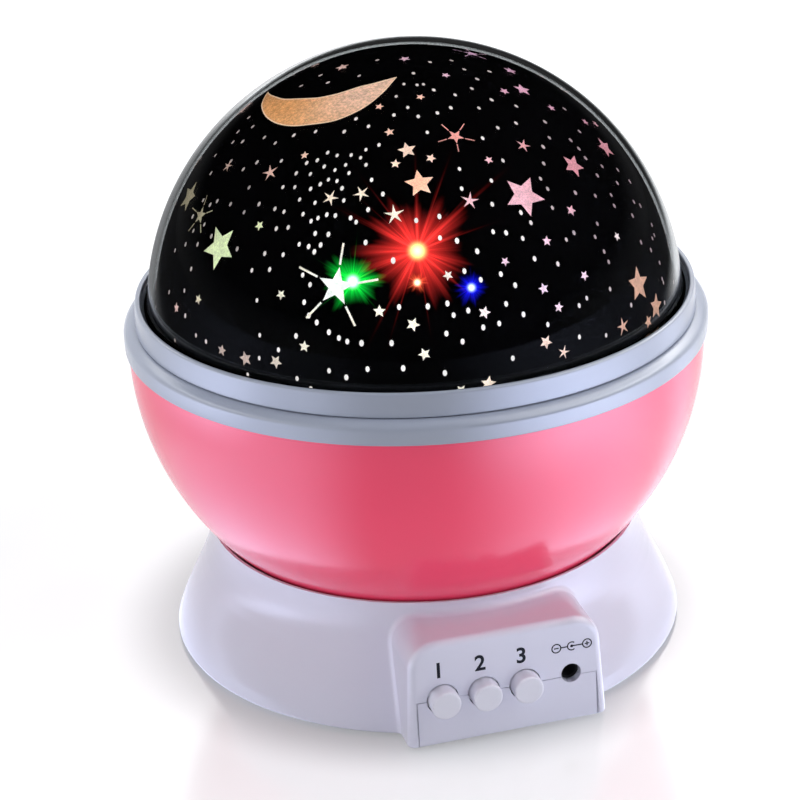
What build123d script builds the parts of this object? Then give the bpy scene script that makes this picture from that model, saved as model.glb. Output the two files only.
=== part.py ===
from build123d import *
import math
import os

# Star night light projector: a fixed base with a control panel, a bowl that turns on it, and a
# star dome that lifts off the bowl.  Millimetres and degrees.  The origin is the centre of the
# base on the table, +Z is up and the control panel faces -Y.

# ---- clearances -----------------------------------------------------------------------------
SEAT = 0.05              # parts of one body that rest face to face or are screwed together
SLIP = 0.15              # parts that are pushed together by hand
RUN = 0.1                # radial running clearance of shafts, plungers and the bowl hub
FREE = 0.4               # moving surfaces that must never touch
PAST = 1.0               # cutting shapes run on this far past what they cut

# ---- screws ---------------------------------------------------------------------------------
SCREW_R = 1.2
SCREW_HEAD_R = 2.3
SCREW_HEAD_T = 1.2
BOSS_R = 3.0
HOLE_PAST = 2.0          # a blind screw hole is this much deeper than its screw is long
CASE_SCREW_LEN = 10.0
DOOR_SCREW_HEAD_T = 0.6
DOOR_SCREW_LEN = 4.4
MOTOR_SCREW_LEN = 4.0
POST_SCREW_LEN = 5.5
TRAY_SCREW_LEN = 8.0

# ---- batteries and their bay ----------------------------------------------------------------
CELL_R = 5.25            # AAA cell
CELL_LEN = 43.5
CELL_NUB_R = 1.9
CELL_NUB = 1.0
CELLS = 4
CELL_GAP = 0.2           # between neighbouring cells
CELL_LIFT = 0.8          # cells lie this far above the battery door
CONTACT_GAP = 3.0        # room at each end of a cell for its contact
CONTACT_T = 0.4
CONTACT_W = 7.0
CONTACT_SHORT = 1.0      # a contact ends this far short of the cell's edge
BAY_WALL = 1.5
BAY_H = 9.4
DOOR_T = 1.0             # lower of the door's two steps
DOOR_LEDGE = 1.5
DOOR_TAB_W = 10.0
DOOR_TAB_L = 7.5
DOOR_BOSS_H = 4.0

# ---- base casing ----------------------------------------------------------------------------
FOOT_PROUD = 0.6         # the rubber feet stand this far below the casing
FOOT_R = 4.5
FOOT_SINK = 1.0
FOOT_INSET = 11.0        # from the casing's edge to the middle of a foot
CASE_SCREW_INSET = 13.0  # from the casing's edge to a case screw
PLATE_T = 2.0
CASE_WALL = 2.0          # wall of the casing and thickness of its deck
WIRE_ROOM = 2.1          # between the cells and the deck
RIM_RISE = 8.2           # the rim, where the bowl sinks in, stands this far above the deck
RIM_LIP = 0.58           # width of the rim's edge
BASE_FLARE = 9.2         # the casing is this much wider at its foot than at its rim
FLANK_LEAN = 0.3         # how far the flank leans in at its foot, per unit of height
FLANK_REACH = 9.0        # length of the handles that shape the S of the flank
SPIGOT_R = 9.5           # hollow spigot that the bowl turns on
SPIGOT_BORE_R = 5.5
SPIGOT_RISE = 6.0        # above the bowl's floor

# ---- control panel --------------------------------------------------------------------------
PANEL_PROUD = 2.1        # the panel's face stands this far outside the casing's foot
PANEL_DEPTH = 28.1       # the housing runs back into the casing this far
PANEL_H = 22.9
PANEL_DRAFT = 3.0        # lean of the face and of the two side walls
PANEL_SHOULDER = 6.0     # rounding between the side walls and the top
PANEL_EDGE = 1.6         # rounding round the face
INNER_EDGE = 0.3         # rounding round the back of the face
PANEL_WALL = 1.8
PANEL_COVE = 1.5         # hollow rounding where the housing meets the flank
CASE_EDGE = 0.6          # rounding of the casing's bottom edge
TONGUE_INSET = 2.1       # the lower half of the panel is narrower than the housing, each side
TONGUE_MARGIN = 2.4      # between the outer controls and the edge of the lower half
SEAM_RISE = 10.2         # joint line between the two halves, above the casing's foot

# ---- buttons and switches -------------------------------------------------------------------
BUTTONS = 3
BUTTON_R = 3.1
BUTTON_PROUD = 3.0
BUTTON_TRAVEL = 1.6
BUTTON_EDGE = 0.8
BUTTON_HOLE_GAP = 0.25
FLANGE_LIP = 0.9         # the flange behind the wall is this much wider than the cap
FLANGE_GAP = 0.75        # between neighbouring flanges
FLANGE_T = 1.0
PLUNGER_R = 1.5
PLUNGER_ENGAGED = 0.8    # length of plunger inside its switch at rest
SWITCH_W = 6.0
SWITCH_D = 5.0
SWITCH_SET_BACK = 6.6    # from the panel's foot to the front of the switches
BOARD_SIDE_GAP = 1.2
BOARD_H = 14.0
BOARD_T = 1.2
BOARD_LIFT = 0.8         # the board stands this far above the base plate
BOARD_RIB_INSET = 2.0    # from the board's edge to the rib that holds it
BOARD_RIB_H = 5.0
BOARD_RIB_W = 2.0
BOARD_RIB_D = 2.0        # the rib reaches this far in front of the board and behind it

# ---- power inlet ----------------------------------------------------------------------------
JACK_STAND = 1.15        # the inlet stands this much further off than the next button would
JACK_LIFT = 0.5          # height of the inlet's axis above the joint line
JACK_HOLE_R = 2.1        # hole through the panel
JACK_BORE_R = 1.8        # bore for a 3.5 mm plug
JACK_BORE_DEPTH = 7.0
JACK_W = 6.6
JACK_H = 5.4
JACK_PIN_R = 0.6         # centre pin for a 1.35 mm socket
JACK_PIN_SHORT = 1.5     # the pin ends this far inside the mouth of the bore

# ---- drive ----------------------------------------------------------------------------------
GEAR_MODULE = 1.0
PINION_TEETH = 12
PRESSURE_ANGLE = 20.0
RING_ADDENDUM = 0.6      # short, so that the ring's tips clear the small pinion's roots
PINION_ADDENDUM = 0.8
DEDENDUM = 1.05
BACKLASH = 0.2
FLANK_STEPS = 3          # straight steps along each tooth's flank
RING_GEAR_BACK = 2.6     # material outside the ring gear's roots
RING_GEAR_T = 2.4
PINION_T = 2.0
GEAR_PEGS = 6            # pegs under the bowl that the ring gear is staked to
GEAR_PEG_R = 0.9
GEAR_PEG_START = 30.0    # bearing of the first peg
SHAFT_R = 1.5
SHAFT_SUNK = 4.0         # length of shaft inside the gearbox
SHAFT_FRONT = 3.6        # from the front of the gearbox to its shaft
GEARBOX_GAP = 0.5        # between the battery bay and the gearbox
GEARBOX_L = 24.0
GEARBOX_W = 15.0
GEARBOX_H = 11.0
CAN_R = 4.4
CAN_LEN = 13.0
CAN_SHIFT = 1.0          # the motor sits this far towards the bay from the gearbox's middle
EAR_R = 3.0
EAR_T = 2.0
EAR_SUNK = 1.0           # an ear's screw is this much nearer to the case than its radius
GLIDE_R = 17.0
GLIDE_W = 4.0
GLIDE_T = 3.0            # the bowl runs this far above the deck

# ---- lamp column ----------------------------------------------------------------------------
POST_FLANGE_R = 12.0
POST_FLANGE_T = 2.0
POST_PLUG = 6.0
POST_ROOT_R = 5.0
POST_NECK_R = 4.6
POST_BORE_R = 2.6
POST_HEAD_R = 10.0
POST_HEAD_T = 1.6
POST_CONE_H = 3.2        # height of the cone under the head
LAMP_BOARD_R = 16.0
LAMP_BOARD_T = 1.6
LAMP_RISE = 1.35         # the lamp board's top stands this far above the lower white band
LAMP_INSET = 3.5         # from the board's edge to the three coloured lamps
LAMP_R = 2.5
LAMP_BODY = 3.4
LAMP_COLLAR_R = 2.9
LAMP_COLLAR_T = 0.9

# ---- internal wires -------------------------------------------------------------------------
LEAD_R = 0.8
LEAD_BEND = 3.0
LEAD_OFF_BAY = 3.5       # the motor's wire runs this far from the bay
MOTOR_LEAD_RISE = 5.4    # heights of the wires above the base plate
BATTERY_LEAD_RISE = 4.4
MOTOR_LEAD_OFF = 3.9     # from the motor's axis to its wire
MOTOR_LEAD_TURN = 10.0   # the motor's wire turns in towards the board this far past the bay

# ---- bowl and tray --------------------------------------------------------------------------
BAND_R = 62.0            # lower white band, the widest part of the object
BAND_H = 4.6
BAND_PROUD = 0.75        # the band stands this far outside the bowl
BAND_LEDGE = 2.3         # width of the rounded ledge above the band
BAND_TURN = 1.8
BOWL_H = 47.65
BOWL_TUCK = 2.05         # the bowl is widest this far below its top
BOWL_WALL = 1.8
GEAR_SHELF = 3.7         # the bowl's floor reaches this far past the ring gear
HUB_R = 11.5
SKIRT_DEPTH = 1.8        # the tray's rim reaches this far down inside the bowl
SKIRT_WALL = 1.2
TRAY_T = 1.6
TRAY_DROP = 4.0          # the dish falls this far towards the middle
TRAY_LIP = 3.0           # flat rim round the hole for the lamp board
TRAY_HOLE_GAP = 2.0      # clearance round the lamp board
COLLAR_WALL = 1.4        # collar that the dome ring plugs over
TRAY_SCREWS = 3
TRAY_SCREW_START = 90.0  # bearing of the first tray screw
TRAY_SCREW_INSET = 4.35  # from the inside of the collar to a tray screw
TRAY_PAD_WALL = 1.55     # material round the head of a tray screw
TRAY_BOSS_LEN = 14.0
TRAY_WEB_T = 2.0         # webs that carry the bosses off the bowl's side

# ---- dome cover ------------------------------------------------------------------------------
RING_STEP = 0.2          # the upper ring stands this far inside the end of the ledge
RING_H = 4.9
RING_LEAN = 0.4          # the ring is this much smaller at its top
RING_WALL = 1.1
RING_EDGE = 0.4
TROUGH_W = 2.3           # from the ring's outer edge to the dome
TROUGH_DEPTH = 0.8       # the clear flange lies this far below the ring's top
SHELF_T = 1.0
SHELF_W = 3.0
DOME_SINK = 5.8          # the dome's centre lies this far below the ring's top
DOME_WALL = 1.2
DOME_FLANGE_T = 1.0
FILM_T = 0.5
FILM_GAP = 0.6
FILM_FLANGE_SHORT = 0.8  # the film's flange ends this far inside the clear one's
FILM_TAB_W = 5.7         # locating tab that fills a notch in the clear flange
FILM_TAB_AT = 20.0       # bearing of the tab from the panel, seen from above

# ---- heights that follow, from the table up --------------------------------------------------
CASE_Z = FOOT_PROUD
PLATE_TOP_Z = CASE_Z + PLATE_T
SEAM_Z = CASE_Z + SEAM_RISE
JACK_Z = SEAM_Z + JACK_LIFT
BOARD_FOOT_Z = PLATE_TOP_Z + BOARD_LIFT
BAY_TOP_Z = PLATE_TOP_Z + BAY_H
CELL_Z = PLATE_TOP_Z + CELL_LIFT + CELL_R
DECK_Z = CELL_Z + CELL_R + WIRE_ROOM + CASE_WALL
GEARBOX_TOP_Z = DECK_Z - CASE_WALL
RIM_Z = DECK_Z + RIM_RISE
BOWL_FLOOR_Z = DECK_Z + GLIDE_T
SPIGOT_TOP_Z = BOWL_FLOOR_Z + SPIGOT_RISE
BOWL_TOP_Z = BOWL_FLOOR_Z + BOWL_H
BOWL_MID_Z = BOWL_TOP_Z - BOWL_TUCK
BAND_Z = BOWL_TOP_Z
BAND_TOP_Z = BAND_Z + BAND_H
LAMP_BOARD_Z = BAND_TOP_Z + LAMP_RISE
RING_Z = BAND_TOP_Z + SLIP
RING_TOP_Z = RING_Z + RING_H
DOME_MID_Z = RING_TOP_Z - DOME_SINK
FLANGE_Z = RING_TOP_Z - TROUGH_DEPTH - DOME_FLANGE_T
SHELF_Z = FLANGE_Z - FILM_T - SHELF_T
COLLAR_TOP_Z = SHELF_Z - SLIP

# ---- the drive is as big as the battery bay beside it needs ----------------------------------
BAY_L = CELL_LEN + CELL_NUB + 2 * CONTACT_GAP
CELL_PITCH = 2 * CELL_R + CELL_GAP
BAY_W = CELLS * CELL_PITCH
GEARBOX_Y = BAY_W / 2 + BAY_WALL + GEARBOX_GAP
RING_TEETH = PINION_TEETH + round(2 * (GEARBOX_Y + SHAFT_FRONT) / GEAR_MODULE)
RING_PITCH_R = GEAR_MODULE * RING_TEETH / 2
PINION_PITCH_R = GEAR_MODULE * PINION_TEETH / 2
PINION_Y = RING_PITCH_R - PINION_PITCH_R
RING_GEAR_R = RING_PITCH_R + GEAR_MODULE * DEDENDUM + RING_GEAR_BACK

# ---- the bowl's side is one arc from its floor to its widest radius --------------------------
BOWL_R = BAND_R - BAND_PROUD
BOWL_FLOOR_R = RING_GEAR_R + GEAR_SHELF
BOWL_FLARE = BOWL_R - BOWL_FLOOR_R
BOWL_ARC_R = (BOWL_FLARE**2 + (BOWL_MID_Z - BOWL_FLOOR_Z) ** 2) / (2 * BOWL_FLARE)
BOWL_ARC_X = BOWL_R - BOWL_ARC_R

# ---- radii that follow -----------------------------------------------------------------------
RIM_R = BOWL_ARC_X + math.sqrt((BOWL_ARC_R + FREE) ** 2 - (BOWL_MID_Z - RIM_Z) ** 2) + RIM_LIP
BASE_R = RIM_R + BASE_FLARE
FOOT_AT_R = BASE_R - FOOT_INSET
CASE_SCREW_AT_R = BASE_R - CASE_SCREW_INSET
LAMP_RING_R = LAMP_BOARD_R - LAMP_INSET
RING_R = BAND_R - BAND_LEDGE - RING_STEP
RING_TOP_R = RING_R - RING_LEAN
DOME_R = RING_TOP_R - TROUGH_W
COLLAR_R = RING_R - RING_WALL - SLIP
COLLAR_IN_R = COLLAR_R - COLLAR_WALL
TRAY_SCREW_AT_R = COLLAR_IN_R - TRAY_SCREW_INSET
FLANGE_OUT_R = RING_TOP_R - RING_WALL - SEAT

# ---- the panel is as wide as its row of controls needs ---------------------------------------
FLANGE_R = BUTTON_R + FLANGE_LIP
BUTTON_PITCH = 2 * FLANGE_R + FLANGE_GAP
JACK_X = (BUTTONS * BUTTON_PITCH + JACK_STAND) / 2
BUTTON_XS = [-JACK_X + i * BUTTON_PITCH for i in range(BUTTONS)]
TONGUE_W = 2 * (JACK_X + BUTTON_R + TONGUE_MARGIN)
PANEL_W = TONGUE_W + 2 * TONGUE_INSET
PANEL_Y = BASE_R + PANEL_PROUD
PANEL_BACK_Y = PANEL_Y - PANEL_DEPTH
PANEL_TOP_Z = CASE_Z + PANEL_H
TAN_DRAFT = math.tan(math.radians(PANEL_DRAFT))
FACE_Y_AT_SEAM = PANEL_Y - (SEAM_Z - CASE_Z) * TAN_DRAFT
SWITCH_FACE_Y = PANEL_Y - SWITCH_SET_BACK
BOARD_FRONT_Y = SWITCH_FACE_Y - SWITCH_D
BOARD_BACK_Y = BOARD_FRONT_Y - BOARD_T
BOARD_W = TONGUE_W - 2 * BOARD_SIDE_GAP
BOARD_RIB_X = BOARD_W / 2 - BOARD_RIB_INSET


# ---- drawing helpers -------------------------------------------------------------------------
def turned(*edges):
    """Solid of revolution about Z of a closed outline drawn with X as the radius."""
    return revolve(Plane.XZ * make_face(edges), Axis.Z)


def ring(outer, inner, low, high):
    """Plain ring between two radii and two heights."""
    return turned(Polyline((inner, low), (outer, low), (outer, high), (inner, high), close=True))


def rod(radius, low, high, x=0.0, y=0.0):
    """Upright cylinder between two heights."""
    return Pos(x, y, low) * Cylinder(radius, high - low, align=(Align.CENTER, Align.CENTER, Align.MIN))


def rod_along_y(radius, front, back, x, z):
    """Cylinder along Y between two distances in front of the axis, front being the larger."""
    centre = Pos(x, -(front + back) / 2, z) * Rot(90, 0, 0)
    return centre * Cylinder(radius, front - back)


def block(x0, x1, y0, y1, z0, z1):
    """Box between two corners."""
    centre = Pos((x0 + x1) / 2, (y0 + y1) / 2, (z0 + z1) / 2)
    return centre * Box(x1 - x0, y1 - y0, z1 - z0)


def around(count, radius, start=0.0):
    """Points on a circle, evenly spaced from a starting angle."""
    angles = [math.radians(start + 360 * i / count) for i in range(count)]
    return [(radius * math.cos(a), radius * math.sin(a)) for a in angles]


def pan_screw(x, y, head_z, length, up=True, head_t=SCREW_HEAD_T):
    """Pan-head screw whose head rests at head_z and whose shank points up or down."""
    way = 1 if up else -1
    head = rod(SCREW_HEAD_R, *sorted((head_z, head_z - way * head_t)), x, y)
    shank = rod(SCREW_R - SEAT, *sorted((head_z, head_z + way * length)), x, y)
    return head + shank


# ---- shared forms ----------------------------------------------------------------------------
def flank(inset):
    """Solid inside the S-shaped flank of the base, set in by a wall."""
    foot = (BASE_R - inset, CASE_Z)
    top = (RIM_R - inset, RIM_Z)
    lean = FLANK_LEAN * FLANK_REACH
    side = Bezier(foot, (foot[0] - lean, CASE_Z + FLANK_REACH), (top[0], RIM_Z - FLANK_REACH), top)
    rest = Polyline(top, (0, RIM_Z), (0, CASE_Z), foot)
    return turned(side, rest)


def bowl_side(offset, low, high):
    """Arc of the bowl's side, moved outwards by an offset, between two heights."""
    radius = BOWL_ARC_R + offset
    mid = (low + high) / 2
    points = [(BOWL_ARC_X + math.sqrt(radius**2 - (z - BOWL_MID_Z) ** 2), z) for z in (low, mid, high)]
    return ThreePointArc(*points)


def dish(grow):
    """Solid of the hollow that the bowl turns in, grown by a wall."""
    low = DECK_Z - grow
    high = RIM_Z + CASE_WALL
    side = bowl_side(FREE + grow, BOWL_FLOOR_Z - grow, high)
    foot = side @ 0
    rest = Polyline(side @ 1, (0, high), (0, low), (foot.X, low), foot)
    return turned(side, rest)


def housing(inset):
    """Control panel housing, a drafted block with rounded shoulders, set in by a wall."""
    half = PANEL_W / 2 - inset
    depth = PANEL_Y - inset - PANEL_BACK_Y
    height = PANEL_TOP_Z - inset - CASE_Z
    foot = Pos(0, -PANEL_BACK_Y - depth / 2, CASE_Z) * Rectangle(2 * half, depth)
    form = extrude(foot, height, taper=PANEL_DRAFT)
    shoulders = form.edges().filter_by(Axis.Y).group_by(Axis.Z)[-1]
    form = fillet(shoulders, PANEL_SHOULDER - inset)
    face = form.faces().sort_by(Axis.Y)[0]
    front = [e for e in face.edges() if e.center().Z > CASE_Z + SEAT]
    return fillet(front, max(PANEL_EDGE - inset, INNER_EDGE))


def casing():
    """Outer form of the base: the flank and the housing, joined by a cove."""
    round_part, panel_part = flank(0), housing(0)
    form = round_part + panel_part
    joint = new_edges(round_part, panel_part, combined=form)
    form = fillet([e for e in joint if e.center().Z > CASE_Z + PANEL_COVE], PANEL_COVE)
    foot = [e for e in form.edges() if e.bounding_box().max.Z < CASE_Z + SEAT]
    return fillet(foot, CASE_EDGE)


# ---- base ------------------------------------------------------------------------------------
def panel_openings(gap):
    """Holes for the buttons and the plug."""
    front = PANEL_Y + PAST
    back = FACE_Y_AT_SEAM - PANEL_WALL - PAST
    holes = [rod_along_y(BUTTON_R + gap, front, back, x, SEAM_Z) for x in BUTTON_XS]
    holes.append(rod_along_y(JACK_HOLE_R, front, back, JACK_X, JACK_Z))
    return holes


def tongue_zone(gap):
    """Space of the lower half of the panel, which the base plate's tongue fills."""
    half = TONGUE_W / 2 - gap
    back = PANEL_Y - 2 * PANEL_WALL
    return block(-half, half, -PANEL_Y - PAST, -back, CASE_Z - PAST, SEAM_Z - gap)


def case_screw_points():
    return around(4, CASE_SCREW_AT_R, 45)


def motor_ear_points():
    x = GEARBOX_L / 2 + EAR_R - EAR_SUNK
    y = PINION_Y - SHAFT_R
    return [(-x, y), (x, y)]


def base_shell():
    """Casing: flank, deck, spigot and the upper half of the control panel."""
    cavity = (flank(CASE_WALL) + housing(PANEL_WALL)) - dish(CASE_WALL)
    bosses = [rod(BOSS_R, PLATE_TOP_Z, RIM_Z, x, y) for x, y in case_screw_points()]
    spigot = rod(SPIGOT_R, DECK_Z - CASE_WALL, SPIGOT_TOP_Z)
    shell = casing() - cavity
    shell += [boss & flank(CASE_WALL / 2) for boss in bosses]
    shell -= dish(0)
    shell += spigot
    shell -= rod(SPIGOT_BORE_R, 0, SPIGOT_TOP_Z + PAST)
    case_hole_z = CASE_Z + CASE_SCREW_LEN + HOLE_PAST
    shell -= [rod(SCREW_R, 0, case_hole_z, x, y) for x, y in case_screw_points()]
    post_hole_z = SPIGOT_TOP_Z + POST_FLANGE_T - POST_SCREW_LEN - HOLE_PAST
    shell -= [rod(SCREW_R, post_hole_z, SPIGOT_TOP_Z + PAST, x, y) for x, y in post_screw_points()]
    shell -= [rod(SCREW_R + RUN, 0, DECK_Z + PAST, x, y) for x, y in motor_ear_points()]
    shell -= rod(SHAFT_R + FREE, 0, DECK_Z + PAST, 0, PINION_Y)
    shell -= tongue_zone(0)
    shell -= panel_openings(BUTTON_HOLE_GAP)
    return shell


def door_steps(gap):
    """The battery door's two steps, its screw tab included, set in by a gap."""
    half_l = BAY_L / 2 + DOOR_LEDGE - gap
    half_w = BAY_W / 2 + DOOR_LEDGE - gap
    half_tab = DOOR_TAB_W / 2 - gap
    low, mid, high = CASE_Z, CASE_Z + DOOR_T, PLATE_TOP_Z
    cover = block(-half_l, half_l, -half_w, half_w, low, mid)
    cover += block(-half_tab, half_tab, -half_w - DOOR_TAB_L, -half_w + PAST, low, mid)
    lip_l = BAY_L / 2 - gap
    lip_w = BAY_W / 2 - gap
    return cover + block(-lip_l, lip_l, -lip_w, lip_w, mid, high)


def door_screw_y():
    return -(BAY_W / 2 + DOOR_LEDGE + DOOR_TAB_L / 2)


def base_plate():
    """Bottom plate with the battery bay, the lower half of the panel and the board's feet."""
    plate = flank(CASE_WALL + SLIP) & block(-BASE_R, BASE_R, -BASE_R, BASE_R, CASE_Z, PLATE_TOP_Z)
    half = TONGUE_W / 2 - SLIP
    plate += block(-half, half, -PANEL_Y + PANEL_WALL / 2, -BOARD_FRONT_Y, CASE_Z, PLATE_TOP_Z)
    plate += (casing() - housing(PANEL_WALL)) & tongue_zone(SLIP)
    half_l = BAY_L / 2 + BAY_WALL
    half_w = BAY_W / 2 + BAY_WALL
    bay = block(-half_l, half_l, -half_w, half_w, PLATE_TOP_Z, BAY_TOP_Z)
    plate += bay
    boss_top = PLATE_TOP_Z + DOOR_BOSS_H
    plate += rod(BOSS_R, PLATE_TOP_Z, boss_top, 0, door_screw_y())
    plate -= block(-BAY_L / 2, BAY_L / 2, -BAY_W / 2, BAY_W / 2, 0, BAY_TOP_Z + PAST)
    plate -= door_steps(0)
    plate -= rod(SCREW_R + SLIP, 0, boss_top + PAST, 0, door_screw_y())
    for x, y in case_screw_points():
        plate -= rod(SCREW_R + RUN, 0, PLATE_TOP_Z + PAST, x, y)
        plate -= rod(SCREW_HEAD_R + SLIP, 0, CASE_Z + SCREW_HEAD_T, x, y)
    plate -= [rod(FOOT_R, 0, CASE_Z + FOOT_SINK, x, y) for x, y in around(4, FOOT_AT_R)]
    rib_front = -BOARD_FRONT_Y - BOARD_RIB_D
    rib_back = -BOARD_BACK_Y + BOARD_RIB_D
    half_rib = BOARD_RIB_W / 2
    half_slot = half_rib + PAST
    for x in (-BOARD_RIB_X, BOARD_RIB_X):
        rib = block(x - half_rib, x + half_rib, rib_front, rib_back, PLATE_TOP_Z, PLATE_TOP_Z + BOARD_RIB_H)
        slot = block(
            x - half_slot, x + half_slot, -BOARD_FRONT_Y - SEAT, -BOARD_BACK_Y + SEAT, BOARD_FOOT_Z, RIM_Z
        )
        plate += rib - slot
    plate -= panel_openings(BUTTON_HOLE_GAP)
    return plate


def battery_door():
    door = door_steps(SLIP)
    y = door_screw_y()
    door -= rod(SCREW_R + RUN, 0, PLATE_TOP_Z, 0, y)
    return door - rod(SCREW_HEAD_R + SLIP, 0, CASE_Z + DOOR_SCREW_HEAD_T, 0, y)


def door_screw():
    head_z = CASE_Z + DOOR_SCREW_HEAD_T
    return pan_screw(0, door_screw_y(), head_z, DOOR_SCREW_LEN, head_t=DOOR_SCREW_HEAD_T)


def battery_cells():
    """Four AAA cells side by side, laid head to tail."""
    cells = []
    for i in range(CELLS):
        y = (i - (CELLS - 1) / 2) * CELL_PITCH
        way = 1 if i % 2 == 0 else -1
        can = Rot(0, 90, 0) * Cylinder(CELL_R, CELL_LEN)
        nub = Pos(way * (CELL_LEN + CELL_NUB) / 2, 0, 0) * Rot(0, 90, 0) * Cylinder(CELL_NUB_R, CELL_NUB)
        cells.append(Pos(-way * CELL_NUB / 2, y, CELL_Z) * (can + nub))
    return Compound(children=cells)


def contact_leaf(span):
    """Bowed contact strip that stands on a bay end wall and reaches a cell, along +X."""
    half = CELL_R - CONTACT_SHORT
    outline = make_face(
        [
            ThreePointArc((0, half), (span - CONTACT_T, 0), (0, -half)),
            Line((0, -half), (CONTACT_T, -half)),
            ThreePointArc((CONTACT_T, -half), (span, 0), (CONTACT_T, half)),
            Line((CONTACT_T, half), (0, half)),
        ]
    )
    return extrude(Plane.XZ * outline, CONTACT_W / 2, both=True)


def battery_contacts():
    """Bowed leaves at both ends of the bay, one for each cell end."""
    leaves = []
    for i in range(CELLS):
        y = (i - (CELLS - 1) / 2) * CELL_PITCH
        for end in (-1, 1):
            turn = Rot(0, 0, 0) if end < 0 else Rot(0, 0, 180)
            leaves.append(Pos(end * BAY_L / 2, y, CELL_Z) * turn * contact_leaf(CONTACT_GAP - SEAT))
    return Compound(children=leaves)


def rubber_feet():
    feet = [rod(FOOT_R - SEAT, 0, CASE_Z + FOOT_SINK, x, y) for x, y in around(4, FOOT_AT_R)]
    return Compound(children=feet)


def case_screws():
    heads_z = CASE_Z + SCREW_HEAD_T
    return Compound(children=[pan_screw(x, y, heads_z, CASE_SCREW_LEN) for x, y in case_screw_points()])


def switch_board():
    return block(
        -BOARD_W / 2, BOARD_W / 2, -BOARD_FRONT_Y, -BOARD_BACK_Y, BOARD_FOOT_Z, BOARD_FOOT_Z + BOARD_H
    )


def push_switches():
    """Switch bodies with the bores that their plungers slide in."""
    bodies = []
    half = SWITCH_W / 2
    for x in BUTTON_XS:
        body = block(x - half, x + half, -SWITCH_FACE_Y, -BOARD_FRONT_Y, SEAM_Z - half, SEAM_Z + half)
        bore_end = SWITCH_FACE_Y - PLUNGER_ENGAGED - BUTTON_TRAVEL - FREE
        bodies.append(body - rod_along_y(PLUNGER_R + RUN, SWITCH_FACE_Y + PAST, bore_end, x, SEAM_Z))
    return Compound(children=bodies)


def flange_front_y():
    """Front face of the button flanges, just behind the panel wall."""
    low_z = SEAM_Z + FLANGE_R
    return PANEL_Y - (low_z - CASE_Z) * TAN_DRAFT - PANEL_WALL - SLIP


def button(x):
    """Push cap: a rounded cylinder with a flange that keeps it behind the panel."""
    front = FACE_Y_AT_SEAM + BUTTON_PROUD
    cap = rod_along_y(BUTTON_R, front, flange_front_y(), x, SEAM_Z)
    cap = fillet(cap.edges().sort_by(Axis.Y)[0], BUTTON_EDGE)
    return cap + rod_along_y(FLANGE_R, flange_front_y(), flange_front_y() - FLANGE_T, x, SEAM_Z)


def plunger(x):
    front = flange_front_y() - FLANGE_T
    return rod_along_y(PLUNGER_R, front, SWITCH_FACE_Y - PLUNGER_ENGAGED, x, SEAM_Z)


def jack_front_y():
    return FACE_Y_AT_SEAM - PANEL_WALL - 2 * SLIP


def dc_jack():
    front = jack_front_y()
    body = block(
        JACK_X - JACK_W / 2, JACK_X + JACK_W / 2, -front, -BOARD_FRONT_Y, JACK_Z - JACK_H / 2, JACK_Z + JACK_H / 2
    )
    return body - rod_along_y(JACK_BORE_R, front + PAST, front - JACK_BORE_DEPTH, JACK_X, JACK_Z)


def dc_pin():
    front = jack_front_y()
    pin = rod_along_y(JACK_PIN_R, front - JACK_PIN_SHORT, front - JACK_BORE_DEPTH, JACK_X, JACK_Z)
    return fillet(pin.edges().sort_by(Axis.Y)[0], JACK_PIN_R / 2)


# ---- drive -----------------------------------------------------------------------------------
def involute(angle):
    return math.tan(angle) - angle


def gear_outline(teeth, root_r, tip_r, thin):
    """Closed involute outline with a tooth centred on +Y, each tooth thinned by an amount."""
    pitch_r = GEAR_MODULE * teeth / 2
    base_r = pitch_r * math.cos(math.radians(PRESSURE_ANGLE))
    half_at_pitch = math.pi / (2 * teeth) - thin / (2 * pitch_r)
    flank_points = []
    low_r = max(root_r, base_r)
    for i in range(FLANK_STEPS + 1):
        radius = low_r + (tip_r - low_r) * i / FLANK_STEPS
        roll = math.acos(min(1.0, base_r / radius))
        half = half_at_pitch + involute(math.radians(PRESSURE_ANGLE)) - involute(roll)
        flank_points.append((radius, half))
    if root_r < low_r:
        flank_points.insert(0, (root_r, flank_points[0][1]))
    points = []
    for tooth in range(teeth):
        middle = math.pi / 2 + 2 * math.pi * tooth / teeth
        for radius, half in flank_points:
            points.append((radius * math.cos(middle - half), radius * math.sin(middle - half)))
        for radius, half in reversed(flank_points):
            points.append((radius * math.cos(middle + half), radius * math.sin(middle + half)))
    return make_face(Polyline(*points, close=True))


def gear_peg_points():
    return around(GEAR_PEGS, RING_GEAR_R - RING_GEAR_BACK / 2, GEAR_PEG_START)


def ring_gear():
    """Internal gear under the bowl's floor; its tooth spaces are cut by an external outline."""
    low = BOWL_FLOOR_Z - RING_GEAR_T
    tip_r = RING_PITCH_R - GEAR_MODULE * RING_ADDENDUM
    root_r = RING_PITCH_R + GEAR_MODULE * DEDENDUM
    spaces = gear_outline(RING_TEETH, tip_r, root_r, -BACKLASH / 2)
    gear = extrude(Pos(0, 0, low) * (Circle(RING_GEAR_R) - spaces), RING_GEAR_T)
    high = BOWL_FLOOR_Z + PAST
    return gear - [rod(GEAR_PEG_R + SEAT, low - PAST, high, x, y) for x, y in gear_peg_points()]


def drive_pinion():
    """Spur pinion on the motor shaft, with a tooth in the ring gear's space on +Y."""
    low = BOWL_FLOOR_Z - RING_GEAR_T + (RING_GEAR_T - PINION_T) / 2
    root_r = PINION_PITCH_R - GEAR_MODULE * DEDENDUM
    tip_r = PINION_PITCH_R + GEAR_MODULE * PINION_ADDENDUM
    outline = gear_outline(PINION_TEETH, root_r, tip_r, BACKLASH / 2)
    return Pos(0, PINION_Y, low) * extrude(outline - Circle(SHAFT_R), PINION_T)


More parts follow.
